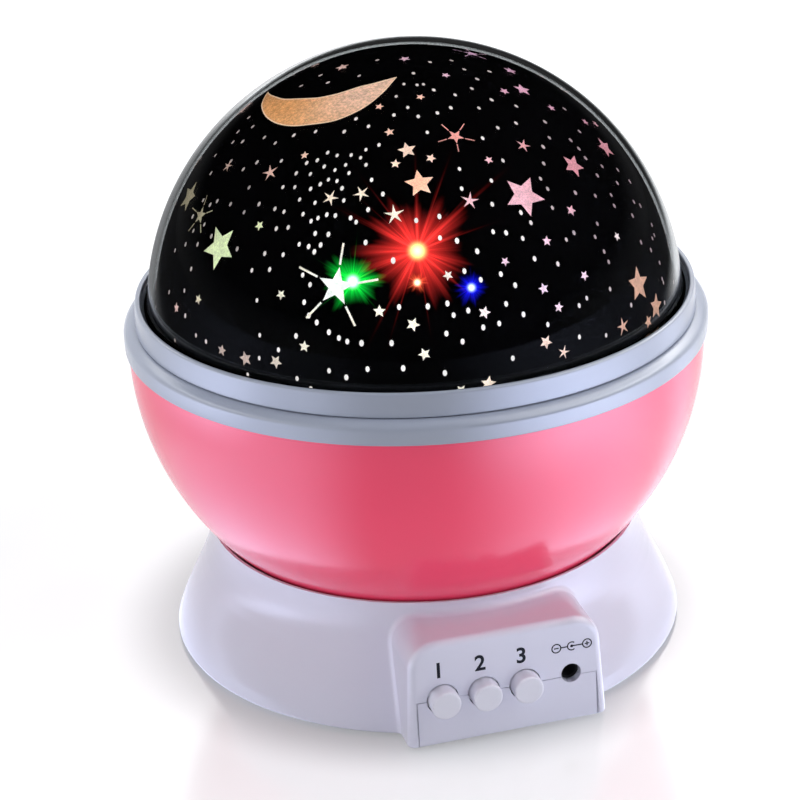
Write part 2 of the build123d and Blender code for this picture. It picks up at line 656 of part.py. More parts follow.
def motor_shaft():
    return rod(SHAFT_R - SEAT / 2, GEARBOX_TOP_Z - SHAFT_SUNK, BOWL_FLOOR_Z - FREE, 0, PINION_Y)


def gearbox():
    """Closed gear case under the deck, with two screw ears and the output bore."""
    half = GEARBOX_L / 2
    low = GEARBOX_TOP_Z - GEARBOX_H
    past = GEARBOX_TOP_Z + PAST
    case = block(-half, half, GEARBOX_Y, GEARBOX_Y + GEARBOX_W, low, GEARBOX_TOP_Z)
    case += [rod(EAR_R, GEARBOX_TOP_Z - EAR_T, GEARBOX_TOP_Z, x, y) for x, y in motor_ear_points()]
    case -= [rod(SCREW_R, low, past, x, y) for x, y in motor_ear_points()]
    return case - rod(SHAFT_R + RUN, GEARBOX_TOP_Z - SHAFT_SUNK - SEAT, past, 0, PINION_Y)


def can_axis_y():
    return GEARBOX_Y + GEARBOX_W / 2 - CAN_SHIFT


def motor_can():
    x = (GEARBOX_L + CAN_LEN) / 2
    z = GEARBOX_TOP_Z - GEARBOX_H + CAN_R
    return Pos(x, can_axis_y(), z) * Rot(0, 90, 0) * Cylinder(CAN_R, CAN_LEN)


def motor_screws():
    screws = [pan_screw(x, y, DECK_Z, MOTOR_SCREW_LEN, up=False) for x, y in motor_ear_points()]
    return Compound(children=screws)


def glide_ring():
    return ring(GLIDE_R, GLIDE_R - GLIDE_W, DECK_Z, BOWL_FLOOR_Z - SEAT)


# ---- lamp column -----------------------------------------------------------------------------
def post_screw_points():
    return around(3, (SPIGOT_R + SPIGOT_BORE_R) / 2, 90)


def led_post():
    """Hollow column; its flange keeps the bowl on the spigot and its head carries the board."""
    flange_z = SPIGOT_TOP_Z
    head_z = LAMP_BOARD_Z - LAMP_BOARD_T
    profile = Polyline(
        (POST_BORE_R, flange_z - POST_PLUG),
        (SPIGOT_BORE_R - SEAT, flange_z - POST_PLUG),
        (SPIGOT_BORE_R - SEAT, flange_z),
        (POST_FLANGE_R, flange_z),
        (POST_FLANGE_R, flange_z + POST_FLANGE_T),
        (POST_ROOT_R, flange_z + POST_FLANGE_T),
        (POST_NECK_R, head_z - POST_HEAD_T - POST_CONE_H),
        (POST_HEAD_R, head_z - POST_HEAD_T),
        (POST_HEAD_R, head_z),
        (POST_BORE_R, head_z),
        close=True,
    )
    post = turned(profile)
    high = flange_z + POST_FLANGE_T + SCREW_HEAD_T
    return post - [rod(SCREW_R + RUN, flange_z - PAST, high, x, y) for x, y in post_screw_points()]


def post_screws():
    z = SPIGOT_TOP_Z + POST_FLANGE_T
    return Compound(children=[pan_screw(x, y, z, POST_SCREW_LEN, up=False) for x, y in post_screw_points()])


def led_board():
    return rod(LAMP_BOARD_R, LAMP_BOARD_Z - LAMP_BOARD_T, LAMP_BOARD_Z)


def lamp(x, y):
    """Five millimetre lamp: collar, body and domed lens."""
    z = LAMP_BOARD_Z
    profile = [
        Polyline((0, z), (LAMP_COLLAR_R, z), (LAMP_COLLAR_R, z + LAMP_COLLAR_T), (LAMP_R, z + LAMP_COLLAR_T)),
        Line((LAMP_R, z + LAMP_COLLAR_T), (LAMP_R, z + LAMP_BODY)),
        RadiusArc((LAMP_R, z + LAMP_BODY), (0, z + LAMP_BODY + LAMP_R), -LAMP_R),
        Line((0, z + LAMP_BODY + LAMP_R), (0, z)),
    ]
    return Pos(x, y, 0) * turned(*profile)


def lead(points, bend=LEAD_BEND):
    """Insulated wire along straight runs joined by round bends."""
    path = Line(*points) if len(points) == 2 else FilletPolyline(*points, radius=bend)
    section = Plane(origin=path @ 0, z_dir=path % 0) * Circle(LEAD_R)
    return sweep(section, path=path)


def led_lead():
    """Wire from the switch board, over the cells and up the column to the lamp board."""
    z = CELL_Z + CELL_R + WIRE_ROOM / 2
    top = LAMP_BOARD_Z - LAMP_BOARD_T
    return lead([(0, -BOARD_BACK_Y, z), (0, 0, z), (0, 0, top)])


def motor_lead():
    """Wire from the motor, round the end of the bay to the switch board."""
    x = BAY_L / 2 + BAY_WALL + LEAD_OFF_BAY
    y = can_axis_y() - MOTOR_LEAD_OFF
    z = PLATE_TOP_Z + MOTOR_LEAD_RISE
    bay_y = -BAY_W / 2 - BAY_WALL
    board_x = BOARD_RIB_X - BOARD_RIB_W
    start = (GEARBOX_L / 2 + CAN_LEN, y, z)
    bends = [(x, y, z), (x, bay_y - BOARD_RIB_D, z), (board_x, bay_y - MOTOR_LEAD_TURN, z)]
    return lead([start, *bends, (board_x, -BOARD_BACK_Y, z)])


def battery_lead():
    """Wire from the battery bay to the switch board."""
    x = -BAY_L / 4
    z = PLATE_TOP_Z + BATTERY_LEAD_RISE
    return lead([(x, -BAY_W / 2 - BAY_WALL, z), (x, -BOARD_BACK_Y, z)])


# ---- bowl ------------------------------------------------------------------------------------
def tray_screw_points():
    return around(TRAY_SCREWS, TRAY_SCREW_AT_R, TRAY_SCREW_START)


def bowl_solid(inset):
    """Solid inside the bowl's outer form, set in by a wall."""
    low = BOWL_FLOOR_Z + inset
    side = bowl_side(-inset, low, BOWL_TOP_Z)
    rest = Polyline(side @ 1, (0, BOWL_TOP_Z), (0, low), side @ 0)
    return turned(side, rest)


def tray_boss_z():
    return BOWL_TOP_Z - SKIRT_DEPTH - SEAT


def bowl():
    """Turning bowl with its bearing hub and the bosses that take the tray's screws."""
    shell = bowl_solid(0) - bowl_solid(BOWL_WALL)
    hub_top = SPIGOT_TOP_Z - SLIP
    shell += rod(HUB_R, BOWL_FLOOR_Z, hub_top)
    shell -= rod(SPIGOT_R + RUN, 0, hub_top + PAST)
    peg_foot = BOWL_FLOOR_Z - RING_GEAR_T
    shell += [rod(GEAR_PEG_R, peg_foot, BOWL_FLOOR_Z + BOWL_WALL / 2, x, y) for x, y in gear_peg_points()]
    top = tray_boss_z()
    low = top - TRAY_BOSS_LEN
    half_web = TRAY_WEB_T / 2
    for i, (x, y) in enumerate(tray_screw_points()):
        boss = rod(BOSS_R, low, top, x, y)
        web = block(TRAY_SCREW_AT_R, BOWL_R, -half_web, half_web, low, top)
        web = Rot(0, 0, TRAY_SCREW_START + 360 * i / TRAY_SCREWS) * web
        shell += (boss + web) & bowl_solid(BOWL_WALL / 2)
        shell -= rod(SCREW_R, top - TRAY_SCREW_LEN, top + PAST, x, y)
    return shell


def reflector_tray():
    """White tray; its rim is the band on the bowl and its dish reflects the lamps' light."""
    skirt_r = BOWL_ARC_X + math.sqrt((BOWL_ARC_R - BOWL_WALL) ** 2 - BOWL_TUCK**2) - SLIP
    ledge_r = BAND_R - BAND_LEDGE
    hole_r = LAMP_BOARD_R + TRAY_HOLE_GAP
    dish_z = BAND_TOP_Z - TRAY_T
    low_z = dish_z - TRAY_DROP
    foot_z = BAND_Z - SKIRT_DEPTH
    edge = [
        Polyline(
            (skirt_r, foot_z), (skirt_r, BAND_Z), (BAND_R, BAND_Z), (BAND_R, BAND_TOP_Z - BAND_TURN)
        ),
        Bezier(
            (BAND_R, BAND_TOP_Z - BAND_TURN), (BAND_R, BAND_TOP_Z - BAND_TURN / 4), (ledge_r, BAND_TOP_Z)
        ),
        Polyline(
            (ledge_r, BAND_TOP_Z),
            (COLLAR_R, BAND_TOP_Z),
            (COLLAR_R, COLLAR_TOP_Z),
            (COLLAR_IN_R, COLLAR_TOP_Z),
            (COLLAR_IN_R, dish_z),
            (hole_r + TRAY_LIP, low_z),
            (hole_r, low_z),
            (hole_r, low_z - TRAY_T),
            (hole_r + TRAY_LIP, low_z - TRAY_T),
            (skirt_r - SKIRT_WALL, dish_z - TRAY_T),
            (skirt_r - SKIRT_WALL, foot_z),
            (skirt_r, foot_z),
        ),
    ]
    tray = turned(*edge)
    head_hole_r = SCREW_HEAD_R + SLIP
    for x, y in tray_screw_points():
        tray += rod(head_hole_r + TRAY_PAD_WALL, foot_z, dish_z, x, y)
        tray -= rod(SCREW_R + RUN, 0, BAND_TOP_Z, x, y)
        tray -= rod(head_hole_r, tray_screw_seat_z(), BAND_TOP_Z + PAST, x, y)
    return tray


def tray_screw_seat_z():
    return BAND_Z - SKIRT_DEPTH + TRAY_T


def tray_screws():
    z = tray_screw_seat_z()
    return Compound(children=[pan_screw(x, y, z, TRAY_SCREW_LEN, up=False) for x, y in tray_screw_points()])


# ---- dome cover ------------------------------------------------------------------------------
def dome_profile(outer_r, thickness, flange_r, flange_z, flange_t):
    """Half section of a domed shell with an outward flange at its mouth."""
    inner_r = outer_r - thickness
    out_z = flange_z + flange_t
    out_x = math.sqrt(outer_r**2 - (out_z - DOME_MID_Z) ** 2)
    in_x = math.sqrt(inner_r**2 - (flange_z - DOME_MID_Z) ** 2)
    crown = DOME_MID_Z + outer_r
    crown_in = DOME_MID_Z + inner_r
    half_way = math.sqrt(0.5)
    outer_mid = (outer_r * half_way, DOME_MID_Z + outer_r * half_way)
    inner_mid = (inner_r * half_way, DOME_MID_Z + inner_r * half_way)
    return [
        Polyline((in_x, flange_z), (flange_r, flange_z), (flange_r, out_z), (out_x, out_z)),
        ThreePointArc((out_x, out_z), outer_mid, (0, crown)),
        Line((0, crown), (0, crown_in)),
        ThreePointArc((0, crown_in), inner_mid, (in_x, flange_z)),
    ]


def film_tab(inner, grow, low, high):
    """Locating tab of the film, or with a gap the notch for it in the clear flange."""
    half = FILM_TAB_W / 2 + grow
    tab = block(inner, FLANGE_OUT_R + PAST, -half, half, low, high)
    return Rot(0, 0, -90 + FILM_TAB_AT) * tab


def clear_dome():
    """Clear hemisphere whose flange lies on the film's flange."""
    dome = turned(*dome_profile(DOME_R, DOME_WALL, FLANGE_OUT_R, FLANGE_Z, DOME_FLANGE_T))
    return dome - film_tab(DOME_R + SLIP, SLIP, FLANGE_Z - PAST, RING_TOP_Z)


def star_film():
    """Thin inner dome that carries the star pattern."""
    film_r = DOME_R - DOME_WALL - FILM_GAP
    flange_r = FLANGE_OUT_R - FILM_FLANGE_SHORT
    low = FLANGE_Z - FILM_T
    film = turned(*dome_profile(film_r, FILM_T, flange_r, low, FILM_T))
    foot = film_tab(flange_r - PAST, 0, low, FLANGE_Z)
    key = film_tab(DOME_R + 2 * SLIP, 0, low, FLANGE_Z + DOME_FLANGE_T / 2)
    return film + ((foot + key) & ring(FLANGE_OUT_R, 0, low, RING_TOP_Z))


def dome_ring():
    """Bezel that plugs over the tray's collar and holds both domes by their flanges."""
    shelf_in = FLANGE_OUT_R - SHELF_W
    foot_in = COLLAR_R + SLIP
    top_in = FLANGE_OUT_R + SEAT
    profile = Polyline(
        (foot_in, RING_Z),
        (RING_R, RING_Z),
        (RING_TOP_R, RING_TOP_Z),
        (top_in, RING_TOP_Z),
        (top_in, SHELF_Z + SHELF_T),
        (shelf_in, SHELF_Z + SHELF_T),
        (shelf_in, SHELF_Z),
        (foot_in, SHELF_Z),
        close=True,
    )
    bezel = turned(profile)
    return fillet(bezel.edges().group_by(Axis.Z)[-1], RING_EDGE)


# ---- build -----------------------------------------------------------------------------------
def nodes():
    """Every node by name."""
    made = {
        "base_shell": base_shell(),
        "base_plate": base_plate(),
        "battery_door": battery_door(),
        "door_screw": door_screw(),
        "battery_cells": battery_cells(),
        "battery_contacts": battery_contacts(),
        "rubber_feet": rubber_feet(),
        "case_screws": case_screws(),
        "switch_board": switch_board(),
        "push_switches": push_switches(),
        "dc_jack": dc_jack(),
        "dc_pin": dc_pin(),
        "gearbox": gearbox(),
        "motor_can": motor_can(),
        "motor_screws": motor_screws(),
        "motor_shaft": motor_shaft(),
        "drive_pinion": drive_pinion(),
        "ring_gear": ring_gear(),
        "glide_ring": glide_ring(),
        "led_post": led_post(),
        "post_screws": post_screws(),
        "led_board": led_board(),
        "led_white": lamp(0, 0),
        "led_green": lamp(-LAMP_RING_R, 0),
        "led_blue": lamp(LAMP_RING_R, 0),
        "led_red": lamp(0, LAMP_RING_R),
        "led_lead": led_lead(),
        "motor_lead": motor_lead(),
        "battery_lead": battery_lead(),
        "bowl": bowl(),
        "reflector_tray": reflector_tray(),
        "tray_screws": tray_screws(),
        "clear_dome": clear_dome(),
        "star_film": star_film(),
        "dome_ring": dome_ring(),
    }
    for i, x in enumerate(BUTTON_XS, start=1):
        made[f"button_{i}"] = button(x)
        made[f"plunger_{i}"] = plunger(x)
    return made


os.makedirs("parts", exist_ok=True)
for name, shape in nodes().items():
    export_step(shape, f"parts/{name}.step")
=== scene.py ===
"""Looks of the turning star night light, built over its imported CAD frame."""

import logging
import math
import random
from dataclasses import dataclass, field
from enum import Enum
from typing import Iterable, Sequence

import bmesh
import bpy
from mathutils import Matrix, Vector


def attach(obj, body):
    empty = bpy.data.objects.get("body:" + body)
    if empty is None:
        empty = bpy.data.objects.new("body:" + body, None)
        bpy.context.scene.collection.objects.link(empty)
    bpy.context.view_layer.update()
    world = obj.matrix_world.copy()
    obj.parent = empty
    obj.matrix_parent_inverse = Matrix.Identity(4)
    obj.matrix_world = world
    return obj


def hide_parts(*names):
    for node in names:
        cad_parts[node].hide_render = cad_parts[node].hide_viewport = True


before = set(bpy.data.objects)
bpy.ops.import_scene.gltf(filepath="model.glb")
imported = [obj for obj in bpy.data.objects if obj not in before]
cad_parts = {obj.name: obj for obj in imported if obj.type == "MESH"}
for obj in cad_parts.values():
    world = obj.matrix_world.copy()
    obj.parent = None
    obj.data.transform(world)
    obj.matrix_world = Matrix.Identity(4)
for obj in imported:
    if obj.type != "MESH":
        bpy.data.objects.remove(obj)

LOG = logging.getLogger("night_light")
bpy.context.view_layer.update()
MM = 0.001
LARGE_FACETS = 288
Colour = tuple[float, float, float, float]
Outline = list[tuple[float, float]]
Value = "Term | bpy.types.NodeSocket | float | Colour | Vector | tuple[float, float, float]"


class Body(Enum):
    """The bodies that pieces ride on."""

    BASE = "base"
    ROTOR = "rotor"
    DOME = "dome_cover"
    BUTTON_1 = "button_1"
    BUTTON_2 = "button_2"
    BUTTON_3 = "button_3"


def srgb(red: int, green: int, blue: int) -> Colour:
    """Linear colour of a colour given in display values.

    Args:
        red: Red, 0 to 255.
        green: Green, 0 to 255.
        blue: Blue, 0 to 255.

    Returns:
        The linear colour with full opacity.
    """
    def lift(value: int) -> float:
        """One linear channel."""
        part = value / 255
        return part / 12.92 if part <= 0.04045 else ((part + 0.055) / 1.055) ** 2.4

    return lift(red), lift(green), lift(blue), 1.0


# ---- node graphs -----------------------------------------------------------------------------
class Term:
    """Result in a node graph, on which plain arithmetic adds math nodes."""

    def __init__(self, graph: "Graph", socket: bpy.types.NodeSocket) -> None:
        """Takes an output socket of a graph."""
        self.graph, self.socket = graph, socket

    def __add__(self, other: Value) -> "Term":
        """Sum with another value."""
        return self.graph.math("ADD", self, other)

    def __sub__(self, other: Value) -> "Term":
        """This value less another."""
        return self.graph.math("SUBTRACT", self, other)

    def __rsub__(self, other: Value) -> "Term":
        """Another value less this one."""
        return self.graph.math("SUBTRACT", other, self)

    def __mul__(self, other: Value) -> "Term":
        """Product with another value."""
        return self.graph.math("MULTIPLY", self, other)

    def __truediv__(self, other: Value) -> "Term":
        """This value divided by another."""
        return self.graph.math("DIVIDE", self, other)

    def __rtruediv__(self, other: Value) -> "Term":
        """Another value divided by this one."""
        return self.graph.math("DIVIDE", other, self)

    def __pow__(self, other: Value) -> "Term":
        """This value to a power."""
        return self.graph.math("POWER", self, other)

    def __abs__(self) -> "Term":
        """Size of this value."""
        return self.graph.math("ABSOLUTE", self)

    def clip(self) -> "Term":
        """Keeps this result of a calculation between 0 and 1."""
        self.socket.node.use_clamp = True
        return self

    __radd__ = __add__
    __rmul__ = __mul__


class Graph:
    """Node tree that calls build up."""

    def __init__(self, tree: bpy.types.NodeTree) -> None:
        """Empties the tree to start from."""
        self.tree = tree
        tree.nodes.clear()

    def feed(self, socket: bpy.types.NodeSocket, value: Value) -> None:
        """Links a socket to a result, or sets its own value.

        Args:
            socket: The input to feed.
            value: A result, an output socket, a number, a vector or a colour.
        """
        source = getattr(value, "socket", value)
        if isinstance(source, bpy.types.NodeSocket):
            self.tree.links.new(source, socket)
        else:
            socket.default_value = value

    def node(self, kind: str, settings: dict[str, object] | None = None, **inputs: Value) -> bpy.types.Node:
        """Adds a node and feeds its inputs.

        Args:
            kind: Type name of the node.
            settings: Its properties.
            **inputs: Its inputs by name, with _ for spaces.

        Returns:
            The node.
        """
        made = self.tree.nodes.new(kind)
        for key, value in (settings or {}).items():
            setattr(made, key, value)
        for name, value in inputs.items():
            self.feed(made.inputs[name.replace("_", " ")], value)
        return made

    def result(
        self, kind: str, output: int | str = 0, settings: dict[str, object] | None = None, **inputs: Value
    ) -> Term:
        """Adds a node as node() does, and gives one of its outputs, by number or name."""
        return Term(self, self.node(kind, settings, **inputs).outputs[output])

    def math(self, operation: str, first: Value, second: Value = 0.0) -> Term:
        """Result of a calculation on one or two numbers.

        Args:
            operation: Name of the operation.
            first: First number.
            second: Second number.

        Returns:
            The result.
        """
        made = self.node("ShaderNodeMath", {"operation": operation})
        self.feed(made.inputs[0], first)
        self.feed(made.inputs[1], second)
        return Term(self, made.outputs[0])

    def split(self, vector: Value) -> list[Term]:
        """The X, Y and Z of a vector."""
        return [Term(self, each) for each in self.node("ShaderNodeSeparateXYZ", Vector=vector).outputs]

    def rays(self) -> dict[str, Term]:
        """Tells what ray asks, by name, with "Bounced" for a ray that left anything but glass.

        Returns:
            The answers by name.
        """
        made = {each.name: Term(self, each) for each in self.node("ShaderNodeLightPath").outputs}
        made["Bounced"] = (made["Ray Depth"] - made["Transmission Depth"]).clip()
        return made


class Shading(Graph):
    """Node graph of one material, with sizes in millimetres."""

    def __init__(self, name: str) -> None:
        """Starts the graph of a new material with the given name.

        Args:
            name: Name of the material.
        """
        self.material = bpy.data.materials.new(name)
        self.material.use_nodes = True
        super().__init__(self.material.node_tree)
        self.place = self.result("ShaderNodeTexCoord", "Object")

    def vector(self, operation: str, first: Value, second: Value = (0, 0, 0), result: str = "Vector") -> Term:
        """Result of a calculation on vectors.

        Args:
            operation: Name of the operation.
            first: First vector.
            second: Second vector, or the factor of a scaling.
            result: "Vector" or "Value".

        Returns:
            The result.
        """
        made = self.node("ShaderNodeVectorMath", {"operation": operation})
        self.feed(made.inputs[0], first)
        self.feed(made.inputs["Scale" if operation == "SCALE" else 1], second)
        return Term(self, made.outputs[result])

    def noise(self, size_mm: float, detail: float = 2.0, place: Value = None) -> Term:
        """Soft noise from 0 to 1.

        Args:
            size_mm: Size of its patches.
            detail: Number of finer layers.
            place: Where it is read, on Object coordinates if left out.

        Returns:
            The noise.
        """
        scale = 1 / (size_mm * MM)
        where = place or self.place
        return self.result("ShaderNodeTexNoise", "Fac", Vector=where, Scale=scale, Detail=detail)

    def span(self, value: Value, low: float, high: float, to: tuple[float, float] = (0.0, 1.0)) -> Term:
        """Maps a range of numbers smoothly to another.

        Args:
            value: The number.
            low: Start of the range.
            high: End of the range.
            to: Range that it becomes.

        Returns:
            The mapped number.
        """
        ends = {"From_Min": low, "From_Max": high, "To_Min": to[0], "To_Max": to[1]}
        smooth_step = {"interpolation_type": "SMOOTHSTEP"}
        return self.result("ShaderNodeMapRange", "Result", smooth_step, Value=value, **ends)

    def patches(self, size_mm: float, low: float, high: float, detail: float = 2.0) -> Term:
        """Number that wanders between two values in soft patches of the given size."""
        return self.span(self.noise(size_mm, detail), 0.3, 0.7, (low, high))

    def blend(self, factor: Value, first: Value, second: Value) -> Term:
        """Mixes two colours.

        Args:
            factor: Share of the second.
            first: First colour.
            second: Second colour.

        Returns:
            The mixed colour.
        """
        made = self.node("ShaderNodeMix", {"data_type": "RGBA"})
        for socket, value in ((0, factor), (6, first), (7, second)):
            self.feed(made.inputs[socket], value)
        return Term(self, made.outputs[2])

    def bump(self, height: Value, depth_mm: float, below: Value = None) -> Term:
        """Normal of a surface with a relief from 0 to 1 of the given depth, over another normal if given."""
        under = {} if below is None else {"Normal": below}
        return self.result("ShaderNodeBump", "Normal", Height=height, Distance=depth_mm * MM, **under)

    def finish(self, **sockets: Value) -> bpy.types.Material:
        """Closes the graph with one shader, whose inputs are given by name, and gives the material.

        Args:
            **sockets: The shader's inputs by name.

        Returns:
            The material.
        """
        shader = self.node("ShaderNodeBsdfPrincipled", **sockets)
        self.node("ShaderNodeOutputMaterial", Surface=shader.outputs["BSDF"])
        return self.material


# ---- finishes --------------------------------------------------------------------------------
def dimmed(colour: Colour, share: float) -> Colour:
    """A share of a colour's light."""
    return tuple(channel * share for channel in colour[:3]) + (1.0,)


@dataclass(frozen=True)
class MouldedPlastic:
    """Moulded plastic: its colour drifts a little, its gloss is uneven, its skin is fine."""

    name: str
    colour: Colour
    roughness: float = 0.3
    gloss: float = 0.5
    drift: float = 0.03
    grain_mm: float = 0.5
    grain_depth_mm: float = 0.0012
    wave_mm: float = 16.0
    wave_depth_mm: float = 0.008

    def material(self) -> bpy.types.Material:
        """Builds the material.

        Returns:
            The material.
        """
        shade = Shading(self.name)
        drift = shade.span(shade.noise(30.0, 1.0), 0.2, 0.8)
        wave = shade.bump(shade.noise(self.wave_mm, 1.0), self.wave_depth_mm)
        return shade.finish(
            Base_Color=shade.blend(drift, dimmed(self.colour, 1 - self.drift), self.colour),
            Roughness=shade.patches(11.0, self.roughness * 0.88, self.roughness * 1.12),
            Specular_IOR_Level=self.gloss,
            Normal=shade.bump(shade.noise(self.grain_mm), self.grain_depth_mm, wave),
        )


@dataclass(frozen=True)
class ClearStyrene:
    """Clear polystyrene with a faint cool tint and barely wavy skin."""

    name: str = "clear styrene"
    tint: Colour = srgb(250, 252, 253)
    depth_tint: Colour = (0.42, 0.52, 0.56, 1.0)
    depth_per_m: float = 80.0
    ior: float = 1.4

    def material(self) -> bpy.types.Material:
        """Builds the material.

        Returns:
            The material.
        """
        shade = Shading(self.name)
        made = shade.finish(
            Base_Color=shade.blend(shade.noise(25.0), self.tint, srgb(252, 252, 251)),
            Roughness=0.0,
            Transmission_Weight=1.0,
            IOR=self.ior,
            Normal=shade.bump(shade.noise(14.0, 1.0), 0.004),
        )
        depth = shade.result("ShaderNodeVolumeAbsorption", Color=self.depth_tint, Density=self.depth_per_m)
        shade.feed(shade.tree.get_output_node("ALL").inputs["Volume"], depth)
        return made


@dataclass(frozen=True)
class Glint:
    """Painted glow of a lamp as it shows through the film: bright core, halo and fine streaks."""

    bearing: float
    elevation: float
    core_mm: float
    halo_mm: float
    reach_mm: float
    core: Colour
    colour: Colour
    streaks: float = 1.0
    twirl: float = 0.0


@dataclass(frozen=True)
class Sphere:
    """A sphere about the dome's middle, on which places are given by bearing and elevation."""

    radius: float = 55.0
    mid_z: float = 72.5

    def axes(self, bearing: float, elevation: float) -> tuple[Vector, Vector, Vector]:
        """Directions east, north and outwards at a place.

        Args:
            bearing: Degrees from the panel, towards +X.
            elevation: Degrees above the dome's mouth.

        Returns:
            The three unit vectors.
        """
        b, e = math.radians(bearing), math.radians(elevation)
        east = Vector((math.cos(b), math.sin(b), 0))
        out = Vector((math.sin(b) * math.cos(e), -math.cos(b) * math.cos(e), math.sin(e)))
        return east, out.cross(east), out

    def at(self, bearing: float, elevation: float, lift: float = 0.0) -> Vector:
        """Point at a bearing and an elevation and a height over the sphere, in millimetres."""
        return self.axes(bearing, elevation)[2] * (self.radius + lift) + Vector((0, 0, self.mid_z))

    def near(self, bearing: float, elevation: float, right: float, up: float, lift: float) -> Vector:
        """Point reached from a place by going along the sphere.

        Args:
            bearing: Bearing of the place.
            elevation: Elevation of the place.
            right: Way to the east, in millimetres.
            up: Way to the north, in millimetres.
            lift: Height over the sphere.

        Returns:
            The point in millimetres.
        """
        east, north, out = self.axes(bearing, elevation)
        way = math.hypot(right, up)
        turn = way / self.radius
        ahead = (east * right + north * up) / way if way else east
        way_out = out * math.cos(turn) + ahead * math.sin(turn)
        return way_out * (self.radius + lift) + Vector((0, 0, self.mid_z))


FILM = Sphere()


@dataclass(frozen=True)
class FilmPrintAndPaintedGlints:
    """Black printed film with the lamps' glints painted on it as emission."""

    name: str = "star film"
    black: Colour = srgb(9, 9, 11)
    ray_taper: float = 0.26
    fade: float = 1.8
    # Painted glows of the lamps, fixed on the film.
    glints: tuple[Glint, ...] = (
        Glint(-14.5, 32.8, 1.45, 10.5, 26.0, srgb(255, 240, 140), srgb(255, 56, 52), 0.45),
        Glint(-14.9, 26.5, 0.62, 2.0, 4.0, srgb(255, 216, 170), srgb(240, 90, 54), 0.2, 1.0),
        Glint(-29.3, 26.7, 1.1, 5.8, 12.0, srgb(206, 255, 236), srgb(14, 240, 70), 0.6, 2.0),
        Glint(-3.1, 24.6, 0.7, 3.4, 5.0, srgb(190, 214, 255), srgb(14, 20, 240), 0.3, 3.0),
    )

    def glow(self, shade: Shading, glint: Glint) -> Value:
        """Painted glow of one lamp on the film.

        Args:
            shade: The material's graph.
            glint: The lamp.

        Returns:
            Colour of the light as a vector socket.
        """
        east, north, _ = FILM.axes(glint.bearing, glint.elevation)
        off = shade.vector("SUBTRACT", shade.place, FILM.at(glint.bearing, glint.elevation) * MM)
        right, up = (shade.vector("DOT_PRODUCT", off, axis / MM, "Value") for axis in (east, north))
        flat = shade.result("ShaderNodeCombineXYZ", X=right, Y=up)
        way = shade.vector("LENGTH", flat, result="Value")
        round_place = shade.vector("SCALE", shade.vector("NORMALIZE", flat), MM)
        round_place = shade.vector("ADD", round_place, (0, 0, glint.twirl * MM))
        ratio = way / glint.reach_mm
        ragged = shade.noise(0.13, 2.0, round_place)
        rays = ragged - ratio**0.4 * self.ray_taper
        streak = (1.0 - ratio).clip() ** self.fade * shade.span(rays, 0.42, 0.54)
        edge = shade.span(shade.noise(0.4, 3.0, round_place), 0.34, 0.66, (1.32, 0.8))
        halo = (1.0 - way / glint.halo_mm * edge).clip() ** self.fade
        light = streak * glint.streaks + halo * shade.span(ragged, 0.35, 0.65, (1.7, 3.1))
        heart = shade.span(way, 0.0, glint.core_mm * 1.9, (2.0, 0.0)) ** 2.0
        tinted = shade.vector("SCALE", glint.colour[:3], light)
        return shade.vector("ADD", tinted, shade.vector("SCALE", glint.core[:3], heart))

    def material(self) -> bpy.types.Material:
        """Builds the material.

        Returns:
            The material.
        """
        shade = Shading(self.name)
        # The lamps' painted glows, added up as the film's emission.
        light: Value = (0, 0, 0)
        for glint in self.glints:
            light = shade.vector("ADD", light, self.glow(shade, glint))
        return shade.finish(
            Base_Color=shade.blend(shade.noise(12.0, 3.0), self.black, srgb(5, 5, 6)),
            Roughness=shade.patches(8.0, 0.3, 0.36),
            Specular_IOR_Level=0.0,
            Emission_Color=light,
            Emission_Strength=1.0,
            Normal=shade.bump(shade.noise(6.0, 1.0), 0.003),
        )


@dataclass(frozen=True)
class Tint:
    """Painted lamp light: colour that the windows take near one place of the film."""

    bearing: float
    elevation: float
    spread_mm: float
    colour: Colour


@dataclass(frozen=True)
class WindowPrintWithPaintedGlow:
    """Translucent window of the film, its light from behind painted on as speckled emission."""

    name: str
    plain: Colour
    lamp_tints: tuple[Tint, ...] = ()
    glow: float = 0.8
    body: float = 0.35
    speckle: tuple[float, float] = (0.72, 1.1)
    speckle_mm: float = 0.3
    outlined: bool = False

    def material(self) -> bpy.types.Material:
        """Builds the material.

        Returns:
            The material.
        """
        shade = Shading(self.name)
        colour: Value = self.plain
        # Each tint paints the lamps' light onto the windows near its place.
        for tint in self.lamp_tints:
            spread = tint.spread_mm * MM
            way = shade.vector("DISTANCE", shade.place, FILM.at(tint.bearing, tint.elevation) * MM, "Value")
            colour = shade.blend(shade.span(way, spread, spread * 0.25), colour, tint.colour)
        speck = shade.span(shade.noise(self.speckle_mm), 0.35, 0.65, self.speckle)
        strength = speck * shade.patches(1.6, 0.82, 1.08)
        if self.outlined:
            inset = shade.result("ShaderNodeAttribute", "Fac", {"attribute_name": "inset"})
            pale = shade.span(inset, 0.34, 0.18)
            colour = shade.blend(pale, colour, srgb(250, 214, 180))
            glitter = shade.span(shade.noise(0.42, 3.0), 0.66, 0.72)
            colour = shade.blend(glitter, colour, srgb(255, 232, 160))
            strength = shade.math("MAXIMUM", strength, shade.math("MAXIMUM", pale, glitter))
        return shade.finish(
            Base_Color=shade.vector("SCALE", colour, self.body),
            Roughness=shade.span(speck, 0.6, 1.1, (0.5, 0.35)),
            Specular_IOR_Level=0.2,
            Emission_Color=shade.vector("SCALE", colour, strength),
            Emission_Strength=self.glow,
            Normal=shade.bump(speck, 0.01),
        )


